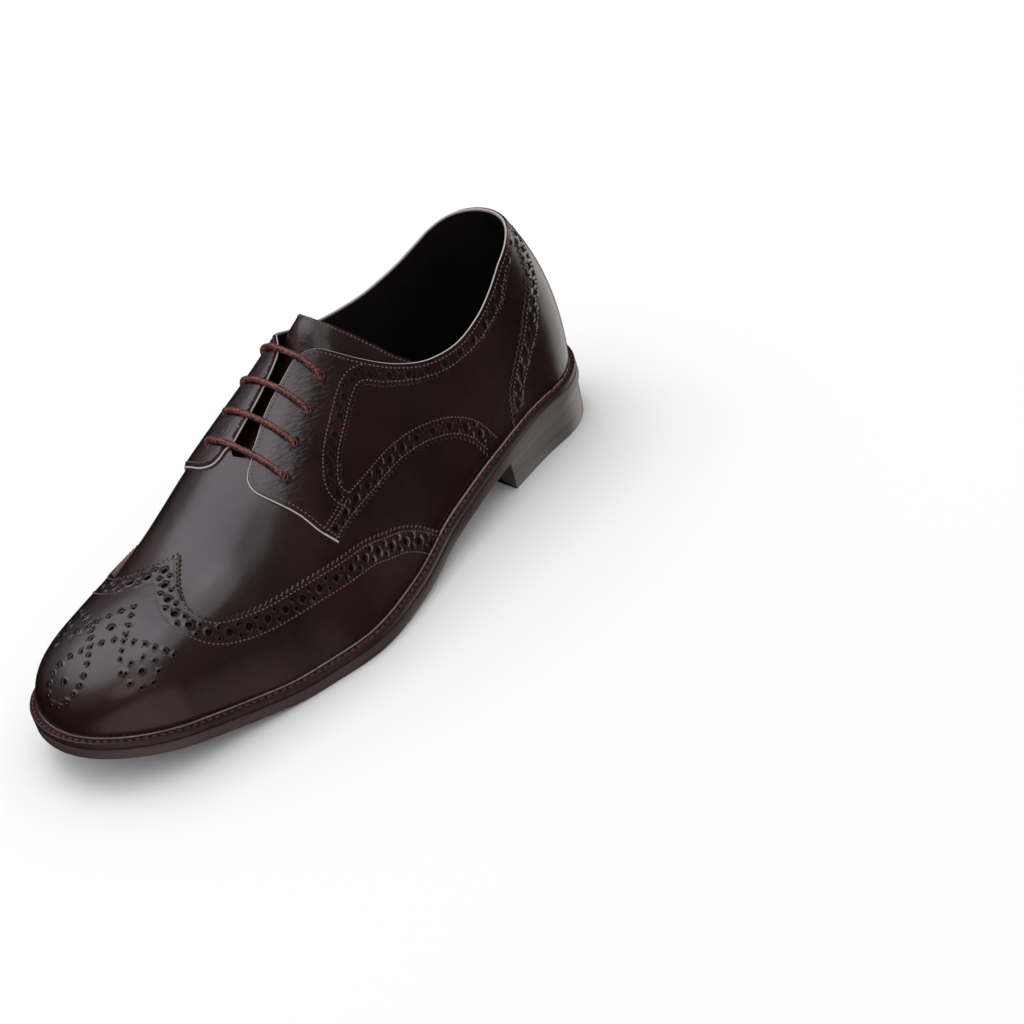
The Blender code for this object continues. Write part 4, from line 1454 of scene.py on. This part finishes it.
# inset from the sole's edge and height over the outsole, in millimetres
welt_levels = (
    (6.5, 0.0), (0.7, 0.0), (0.25, 0.12), (0.0, 0.5), (0.0, 2.6), (0.2, 3.0), (0.5, 3.2),
    (0.85, 3.2), (1.0, 2.8), (1.6, 2.5), (2.3, 2.8), (2.5, 3.2), (6.5, 3.2),
)  # fmt: skip
welt = swept("welt_strip", [(i * MM, over_floor(welt_base + z * MM)) for i, z in welt_levels], join=True)
plan = sole_ring(WELT_SEAM)
seam = np.column_stack((plan, underside(plan[:, 0]) + welt_base + SEAM_RISE)) - ORIGIN
seam = np.vstack([seam, seam[:1]])
far = distances(seam)
seam = read_at(np.linspace(0, far[-1], int(round(far[-1] / WELT_PITCH)) + 1), far, seam)
welt_row = (seam, np.tile((0.0, 0.0, 1.0), (len(seam), 1)))
welt_stitches = stitches("welt_stitches", [welt_row], WELT_THREAD, WELT_COVER)

# %% Outsole
# inset and height in millimetres
sole_levels = (
    (1.4, 0.0), (0.5, 0.12), (0.12, 0.45), (0.0, 0.9), (0.0, 4.4), (0.12, 4.8), (0.5, 5.1), (1.2, 5.2),
)  # fmt: skip
sole_rings = [(i * MM, over_floor(z * MM)) for i, z in sole_levels]
outsole = swept("outsole_leather", sole_rings, ((0, False), (len(sole_rings) - 1, True)))

# %% Heel
HEEL_LIFTS = (0.36, 0.57, 0.78)
LIFT_LINE = ((-0.012, 0.0), (-0.004, 0.02), (0.004, 0.02), (0.012, 0.0))
HEEL_INSET, HEEL_FLARE = 2.7, 1.5
# inset in millimetres and share of the heel's height
heel_levels = [(3.0, 0.0), (2.65, 0.03)]
for share in HEEL_LIFTS:
    for drop, groove in LIFT_LINE:
        heel_levels.append((HEEL_INSET - HEEL_FLARE * (share + drop) + groove, share + drop))
heel_levels += [(1.25, 0.985), (1.5, 1.0)]
heel = swept(
    "heel_stack",
    [(i * MM, lambda x, t=t: t * (underside(x) - PLATE_GAP)) for i, t in heel_levels],
    ((0, False), (len(heel_levels) - 1, True)),
    HEEL_BREAST,
    BREAST_HOLLOW,
)

# %% [markdown]
# ## Finishes
#
# A finish is a small sum of noises and masks. The sums are written as Python expressions on sockets: the
# class below adds a Math node for each operator. Any other node comes from one method.

# %% A socket that can be calculated with
class Wire:
    """An output socket of a finish."""

    def __init__(self, finish, socket):
        self.finish, self.socket = finish, socket

    def math(self, operation, *values):
        return self.finish.node("ShaderNodeMath", {"operation": operation}, values)

    def __add__(self, other):
        return self.math("ADD", self, other)

    def __sub__(self, other):
        return self.math("SUBTRACT", self, other)

    def __rsub__(self, other):
        return self.math("SUBTRACT", other, self)

    def __mul__(self, other):
        return self.math("MULTIPLY", self, other)

    def __truediv__(self, other):
        return self.math("DIVIDE", self, other)

    def __pow__(self, other):
        return self.math("POWER", self, other)

    __radd__, __rmul__ = __add__, __mul__

    def clear(self):
        """Held between 0 and 1."""
        return self.math("MAXIMUM", self.math("MINIMUM", self, 1.0), 0.0)


# %% A finish and its nodes
class Finish:
    """A material with one Principled shader, and the nodes that feed it."""

    def __init__(self, name, **plain):
        self.material = bpy.data.materials.new(name)
        self.material.use_nodes = True
        self.tree = self.material.node_tree
        self.shader = self.tree.nodes["Principled BSDF"]
        self.set(**plain)
        self.place = self.node("ShaderNodeTexCoord", {}, (), "Object")

    def set(self, **values):
        """Sockets of the shader, with words joined by _ for spaces."""
        for word, value in values.items():
            self.feed(self.shader.inputs[word.replace("_", " ")], value)
        return self

    def feed(self, socket, value):
        if isinstance(value, Wire):
            self.tree.links.new(value.socket, socket)
        elif isinstance(value, tuple) and socket.type == "RGBA" and len(value) == 3:
            socket.default_value = (*value, 1)
        else:
            socket.default_value = value

    def node(self, kind, settings, inputs, output=0):
        made = self.tree.nodes.new(kind)
        for word, value in settings.items():
            setattr(made, word, value)
        named = inputs.items() if isinstance(inputs, dict) else enumerate(inputs)
        for word, value in named:
            self.feed(made.inputs[word], value)
        return Wire(self, made.outputs[output])

    def noise(self, size, detail=2.0, rough=0.5, place=None):
        """Noise with features of about this size in metres."""
        inputs = {"Vector": place or self.place, "Scale": 1 / size, "Detail": detail, "Roughness": rough}
        return self.node("ShaderNodeTexNoise", {}, inputs)

    def cells(self, size, place=None):
        inputs = {"Vector": place or self.place, "Scale": 1 / size}
        return self.node("ShaderNodeTexVoronoi", {}, inputs)

    def stretched(self, x, y, z, turn=(0.0, 0.0, 0.0)):
        """The place, scaled along each axis after a turn."""
        inputs = {"Vector": self.place, "Rotation": turn, "Scale": (x, y, z)}
        return self.node("ShaderNodeMapping", {}, inputs)

    def drawn_out(self, turn, times):
        """The place, drawn out so many times along the level direction at this angle."""
        inputs = {"Vector": self.place, "Rotation": (0.0, 0.0, turn), "Scale": (times, 1.0, 1.0)}
        return self.node("ShaderNodeMapping", {"vector_type": "TEXTURE"}, inputs)

    def far_from(self, point):
        inputs = (self.place, tuple(point))
        return self.node("ShaderNodeVectorMath", {"operation": "DISTANCE"}, inputs, "Value")

    def along(self, axis):
        split = self.node("ShaderNodeSeparateXYZ", {}, (self.place,))
        return Wire(self, split.socket.node.outputs[axis])

    def blend(self, share, first, second):
        mix = self.tree.nodes.new("ShaderNodeMix")
        mix.data_type = "RGBA"
        sockets = [s for s in mix.inputs if s.type == "RGBA"]
        self.feed(mix.inputs["Factor"], share)
        self.feed(sockets[0], first)
        self.feed(sockets[1], second)
        return Wire(self, [s for s in mix.outputs if s.type == "RGBA"][0])

    def relief(self, height, depth, after=None):
        """A bump of this depth in metres, on top of another."""
        inputs = {"Height": height, "Distance": depth, "Strength": 1.0}
        if after:
            inputs["Normal"] = after
        return self.node("ShaderNodeBump", {}, inputs)


# %% [markdown]
# ### Polished calf
#
# The leather is a very dark burgundy, aniline-dyed and waxed. Its gloss is what the eye sees first: a clear
# coat over a half-glossy body, slightly uneven, with fine pores under it. Fine folds lie where the lace
# pulls, round the eyelets, and all over the tongue. They could be modelled, but the panels' grid is too
# coarse for them, so they are noise drawn out along one direction, with a fold's foot at its middle value.
# Masks on the distance from each eyelet hold them to their place on the facings.

# %% Calf finishes
DEEP, WARM = (0.0080, 0.0020, 0.0017), (0.031, 0.0078, 0.0062)
CREASE_TURN, CREASE_LENGTH = 2.58, 2.5
PORE, HIDE, CREASE = 0.75 * MM, 0.35 * MM, 2.6 * MM
PORE_DEPTH, SOFT_DEPTH = 0.04 * MM, 0.32 * MM
eyelet_points = [at_place(*eyelet(n, side), side) for n in range(len(EYELETS)) for side in (1, -1)]


def calf(name, wrinkles=0.0, points=(), reach=16 * MM):
    """Polished calf. wrinkles is the folds' depth; with points, the folds stay within reach of those."""
    finish = Finish(name, Coat_Weight=0.75, Coat_Roughness=0.13, Coat_IOR=1.5)
    cloud = finish.noise(38 * MM, 3.0)
    fine = finish.noise(3.2 * MM, 2.0)
    tone = (cloud * 1.6 - 0.4 + fine * 0.25 - 0.1).clear()
    finish.set(Base_Color=finish.blend(tone, DEEP, WARM), Roughness=0.30 + 0.10 * cloud + 0.04 * fine)
    pores = finish.cells(PORE)
    hide = finish.noise(HIDE, 2.0)
    soft = finish.noise(9 * MM, 2.0)
    surface = finish.relief(soft, SOFT_DEPTH)
    surface = finish.relief(pores * 0.6 + hide * 0.4, PORE_DEPTH, surface)
    if wrinkles:
        bend = finish.noise(CREASE, 1.5, 0.5, finish.drawn_out(CREASE_TURN, CREASE_LENGTH)) - 0.5
        folds = bend.math("ABSOLUTE", bend)
        near = None
        for point in points:
            share = (1 - finish.far_from(point) / reach).clear()
            near = share if near is None else near + share
        mask = near.clear() ** 1.5 if near is not None else 1.0
        surface = finish.relief(folds * mask, wrinkles, surface)
    finish.set(Normal=surface)
    return finish.material


plain_calf = calf("burgundy_calf")
facing_calf = calf("burgundy_calf_by_the_lace", 1.5 * MM, eyelet_points, 18 * MM)
tongue_calf = calf("burgundy_calf_tongue", 0.5 * MM)
print("calf finishes:", plain_calf.name, facing_calf.name, tongue_calf.name)

# %% [markdown]
# ### Lining, edges, thread and lace
#
# The lining is dull black leather. The edge line is pale paint, a painted highlight, and the rand's pale grey
# is painted highlight as well. Thread is waxed and catches the light, and its colour is lightened as painted
# sheen. Cut edges are lightened as painted highlight on the rims, and the foot of each hole is near-black
# painted shade. The lace is reddish-brown cotton, waxed so that the tops of its strands shine, and painted
# darker between its strands as painted shade.

# %% Dull finishes
def dull(name, first, second, roughness, size, depth, coat=0.0):
    """A finish between two colours, with a grain of this size and depth in metres."""
    finish = Finish(name, Coat_Weight=coat, Coat_Roughness=0.3)
    cloud = finish.noise(size * 6, 3.0)
    fine = finish.noise(size, 2.0)
    finish.set(
        Base_Color=finish.blend((cloud * 1.4 - 0.2).clear(), first, second),
        Roughness=roughness + 0.12 * cloud - 0.06,
        Normal=finish.relief(fine, depth),
    )
    return finish.material


lining_leather = dull(
    "black_lining_leather", (0.006, 0.005, 0.005), (0.012, 0.009, 0.008), 0.55, 0.9 * MM, 0.05 * MM
)
# Painted highlight: this pale paint stands in for the light along the rounded edges, on the edge line and on
# the tongue's cut edges.
edge_highlight_paint = dull("painted_edge_highlight", (0.52, 0.49, 0.48), (0.36, 0.33, 0.32), 0.42, 1.5 * MM, 0.04 * MM)
# Painted highlight: the rand's pale grey stands in for the light along its round top.
rand_highlight_paint = dull("rand_leather_painted_highlight", (0.34, 0.30, 0.29), (0.16, 0.12, 0.12), 0.4, 2.0 * MM, 0.05 * MM, 0.2)
# Partly painted sheen: the thread's own brown is lightened to stand in for the light its wax catches.
thread = dull("waxed_thread_painted_sheen", (0.165, 0.112, 0.100), (0.085, 0.050, 0.045), 0.42, 0.4 * MM, 0.03 * MM, 0.2)
# Partly painted highlight: the cut edge's own colour is lightened so that hole rims and gimp teeth read as
# lit.
cut_edge_and_painted_highlight = dull(
    "cut_leather_edge_painted_highlight", (0.210, 0.145, 0.130), (0.120, 0.072, 0.064), 0.5, 0.6 * MM, 0.04 * MM, 0.2
)
# Painted shade: a near-black disc in the foot of each punched hole stands in for the shade inside it.
hole_shade_paint = dull(
    "painted_hole_shade", (0.0030, 0.0018, 0.0016), (0.0050, 0.0030, 0.0026), 0.7, 0.6 * MM, 0.02 * MM
)
welt_thread = dull("welt_thread", (0.120, 0.026, 0.023), (0.060, 0.014, 0.012), 0.5, 0.5 * MM, 0.05 * MM)
rim_leather = dull(
    "eyelet_rim_leather", (0.10, 0.052, 0.050), (0.055, 0.026, 0.026), 0.38, 0.8 * MM, 0.03 * MM, 0.4
)
print("small finishes, from", lining_leather.name, "to", rim_leather.name)


# %% Lace finish
def waxed_cord():
    finish = Finish("waxed_cotton_lace", Coat_Weight=0.6, Coat_Roughness=0.22)
    cloud = finish.noise(4 * MM, 2.0)
    fibre = finish.noise(0.35 * MM, 2.0)
    strand_relief_and_painted_shade = finish.cells(1.15 * MM)
    # Partly painted shade: the colour is darker where the strands' relief dips, between the strands; cloud
    # and fibre are random tone.
    tone = (cloud * 0.5 + fibre * 0.4 + 0.55 - strand_relief_and_painted_shade * 1.3).clear()
    finish.set(
        Base_Color=finish.blend(tone, (0.040, 0.007, 0.006), (0.300, 0.078, 0.062)),
        Roughness=0.45 + 0.15 * fibre,
        Normal=finish.relief(1.0 - strand_relief_and_painted_shade, 0.45 * MM),
    )
    return finish.material


lace_cord = waxed_cord()
print("lace finish:", lace_cord.name)

# %% [markdown]
# ### Sole leather and heel stack
#
# The outsole's edge is stained and burnished: brownish grey, redder at the waist where the stain is thin,
# and as grey as the heel where it lies on it. The heel is a stack of leather lifts under a dark finish,
# with faint level streaks.

# %% Sole finishes
WAIST_FROM, WAIST_TO = -75 * MM, 10 * MM
HEEL_TO, HEEL_FADE = -72 * MM, 12 * MM


def sole_edge_finish():
    finish = Finish("burnished_sole_edge", Coat_Weight=0.25, Coat_Roughness=0.3)
    streak = finish.noise(9 * MM, 3.0, 0.6, finish.stretched(0.35, 0.35, 9.0))
    grain = finish.noise(0.7 * MM, 2.0)
    along = finish.along("X")
    waist = ((along - WAIST_FROM) * (WAIST_TO - along) / ((WAIST_TO - WAIST_FROM) ** 2 / 4)).clear()
    body = finish.blend((streak * 1.5 - 0.25).clear(), (0.032, 0.018, 0.016), (0.072, 0.046, 0.042))
    stained = finish.blend(waist * 0.7, body, (0.034, 0.011, 0.010))
    over_heel = ((HEEL_TO - along) / HEEL_FADE).clear()
    finish.set(
        Base_Color=finish.blend(over_heel, stained, (0.090, 0.081, 0.077)),
        Roughness=0.36 + 0.16 * streak,
        Normal=finish.relief(streak * 0.7 + grain * 0.3, 0.10 * MM),
    )
    return finish.material


def welt_finish():
    finish = Finish("dark_welt", Coat_Weight=0.3, Coat_Roughness=0.3)
    cloud = finish.noise(6 * MM, 3.0)
    grain = finish.noise(0.6 * MM, 2.0)
    finish.set(
        Base_Color=finish.blend((cloud * 1.4 - 0.2).clear(), (0.012, 0.006, 0.006), (0.034, 0.015, 0.014)),
        Roughness=0.38 + 0.14 * cloud,
        Normal=finish.relief(grain, 0.05 * MM),
    )
    return finish.material


def heel_finish():
    finish = Finish("heel_stack_finish", Coat_Weight=0.3, Coat_Roughness=0.28)
    streak = finish.noise(7 * MM, 3.0, 0.6, finish.stretched(0.15, 0.15, 3.5))
    grain = finish.noise(0.8 * MM, 2.0)
    finish.set(
        Base_Color=finish.blend((streak * 1.7 - 0.35).clear(), (0.070, 0.063, 0.060), (0.120, 0.110, 0.104)),
        Roughness=0.34 + 0.16 * streak,
        Normal=finish.relief(streak * 0.4 + grain * 0.6, 0.05 * MM),
    )
    return finish.material


sole_finish, welt_leather, stack_finish = sole_edge_finish(), welt_finish(), heel_finish()
print("finishes:", len(bpy.data.materials))

# %% [markdown]
# ## Dressing the solids
#
# Each new piece gets its finish, rides on the one body, and stands for the solid it replaces. The
# insole's solid is right as it is and only gets the lining's finish.

# %% Finishes, slots and what replaces what
def dress(piece, material, slot, *nodes, edge=cut_edge_and_painted_highlight):
    """A panel's second and third materials are its cut edge, lightened as painted highlight, and the painted
    shade in the foot of its holes.
    """
    piece.data.materials.append(material)
    if any(face.material_index for face in piece.data.polygons):
        piece.data.materials.append(edge)
        piece.data.materials.append(hole_shade_paint)
    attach(piece, "root")
    if nodes:
        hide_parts(*nodes)


dress(upper_bag, plain_calf, "upper_leather", "upper")
dress(wing_cap, plain_calf, "upper_leather", "wing_cap")
dress(quarters[0], plain_calf, "upper_leather", "quarter_lateral")
dress(quarters[1], plain_calf, "upper_leather", "quarter_medial")
dress(counter, plain_calf, "upper_leather", "heel_counter")
for piece in facings:
    dress(piece, facing_calf, "upper_leather")
dress(tongue, tongue_calf, "upper_leather", "tongue", edge=edge_highlight_paint)
dress(lining, lining_leather, "black_lining")
for piece in (cap_stitches, quarter_stitches, counter_stitches, tongue_stitches):
    dress(piece, thread, "upper_leather")
dress(edge_highlight_line, edge_highlight_paint, "upper_leather")
dress(rand, rand_highlight_paint, "sole_leather")
for piece in rims:
    dress(piece, rim_leather, "upper_leather")
dress(lace, lace_cord, "waxed_lace", "lace")
dress(welt, welt_leather, "sole_leather", "welt")
dress(welt_stitches, welt_thread, "sole_leather")
dress(outsole, sole_finish, "sole_leather", "outsole")
dress(heel, stack_finish, "heel_stack", "heel")
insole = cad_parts["insole"]
for slot in insole.material_slots:
    slot.material = lining_leather

# %% [markdown]
# ## Studio
#
# A white floor, an even white surround and one large soft panel above light the shoe. Polished leather
# mirrors its surroundings, so what it mirrors is set apart from what lights it: a dark room with six soft
# patches, each bright in its middle. Their directions and strengths were set until the highlights
# lay as in the photograph. Real panels would also light the floor. The camera stands where the
# photographer stood, rolled by the same angle.

# %% Floor
FLOOR_HALF = 3.0
floor_mesh = bpy.data.meshes.new("floor")
corners = [(x * FLOOR_HALF, y * FLOOR_HALF, 0) for x, y in ((-1, -1), (1, -1), (1, 1), (-1, 1))]
floor_mesh.from_pydata(corners, [], [(0, 1, 2, 3)])
floor = bpy.data.objects.new("floor", floor_mesh)
bpy.context.scene.collection.objects.link(floor)
floor_paint = Finish("studio_floor", Base_Color=(0.90, 0.90, 0.90), Roughness=0.9)
floor_paint.set(Specular_IOR_Level=0.0)
floor_mesh.materials.append(floor_paint.material)
floor.visible_glossy = False
print("floor:", 2 * FLOOR_HALF, "m wide")

# %% Surround, and what the leather mirrors
EVEN_WHITE = (0.92, 0.92, 0.92, 1)
world = bpy.data.worlds.new("studio")
bpy.context.scene.world = world
world.use_nodes = True
tree = world.node_tree
world.cycles.sampling_method = "NONE"
background = tree.nodes["Background"]
place = tree.nodes.new("ShaderNodeTexCoord")


def mirrored_patch(direction, stops):
    """Brightness round a direction of the surround. stops are (cosine, colour)."""
    towards = tree.nodes.new("ShaderNodeVectorMath")
    towards.operation = "DOT_PRODUCT"
    towards.inputs[1].default_value = Vector(direction).normalized()
    tree.links.new(place.outputs["Generated"], towards.inputs[0])
    ramp = tree.nodes.new("ShaderNodeValToRGB")
    ramp.color_ramp.interpolation = "EASE"
    while len(ramp.color_ramp.elements) < len(stops):
        ramp.color_ramp.elements.new(0.5)
    for element, (position, colour) in zip(ramp.color_ramp.elements, stops):
        element.position = position
        element.color = (*colour, 1)
    tree.links.new(towards.outputs["Value"], ramp.inputs["Fac"])
    return ramp.outputs["Color"]


def combined(kind, share, first, second):
    """Two colours of the surround, mixed or added."""
    mix = tree.nodes.new("ShaderNodeMix")
    mix.data_type = "RGBA"
    mix.blend_type = kind
    sockets = [s for s in mix.inputs if s.type == "RGBA"]
    for socket, given in zip([mix.inputs["Factor"]] + sockets, (share, first, second)):
        if isinstance(given, bpy.types.NodeSocket):
            tree.links.new(given, socket)
        else:
            socket.default_value = given
    return [s for s in mix.outputs if s.type == "RGBA"][0]


DARK, NONE, BRIGHT = (0.004, 0.003, 0.003), (0.0, 0.0, 0.0), (1.55, 1.50, 1.64)
PATCHES = {
    "over the far side": ((0.10, -0.62, 0.78), ((0.60, DARK), (0.86, (0.14, 0.13, 0.14)), (0.975, BRIGHT))),
    "straight above": (
        (-0.10, -0.14, 0.98), ((0.84, NONE), (0.92, (0.05, 0.05, 0.055)), (0.99, (1.1, 1.07, 1.15))),
    ),
    "behind": ((-0.87, -0.05, -0.46), ((0.83, NONE), (0.99, (1.05, 1.00, 0.97)))),
    "beside": ((0.10, 0.75, 0.65), ((0.60, NONE), (0.98, (0.10, 0.075, 0.07)))),
    "low ahead": ((0.60, 0.65, -0.45), ((0.58, NONE), (0.87, (0.42, 0.32, 0.31)))),
    "over the toe": ((0.52, 0.12, 0.84), ((0.91, NONE), (0.985, (0.75, 0.72, 0.76)))),
}  # fmt: skip
mirrored = None
for direction, stops in PATCHES.values():
    patch = mirrored_patch(direction, stops)
    mirrored = patch if mirrored is None else combined("ADD", 1.0, mirrored, patch)
rays = tree.nodes.new("ShaderNodeLightPath")
seen = combined("MIX", rays.outputs["Is Glossy Ray"], EVEN_WHITE, mirrored)
tree.links.new(seen, background.inputs["Color"])
print("the leather mirrors", len(PATCHES), "patches")

# %% Lamp and camera
lamp_data = bpy.data.lights.new("soft_panel", "AREA")
lamp_data.energy = 6.0
lamp_data.size = 0.9
lamp = bpy.data.objects.new("soft_panel", lamp_data)
lamp.location = (-0.1, -0.55, 1.3)
lamp.rotation_euler = (Vector((0, 0, 0)) - lamp.location).to_track_quat("-Z", "Y").to_euler()
bpy.context.scene.collection.objects.link(lamp)
lamp.visible_glossy = False

AZIMUTH, ELEVATION, ROLL = 55.0792, 34.1902, -18.3131
CAMERA_PLACE = (0.62198, 1.02774, 0.81781)
FOCAL_LENGTH, SENSOR = 117.6945, 36.0
camera_data = bpy.data.cameras.new("camera")
camera_data.lens = FOCAL_LENGTH
camera_data.sensor_width = SENSOR
camera = bpy.data.objects.new("camera", camera_data)
bpy.context.scene.collection.objects.link(camera)
camera.matrix_world = (
    Matrix.Translation(CAMERA_PLACE)
    @ Matrix.Rotation(math.radians(AZIMUTH + 90), 4, "Z")
    @ Matrix.Rotation(math.radians(90 - ELEVATION), 4, "X")
    @ Matrix.Rotation(math.radians(ROLL), 4, "Z")
)
bpy.context.scene.camera = camera
bpy.context.scene.view_settings.view_transform = "Standard"
print("camera at", [round(v, 3) for v in camera.location])
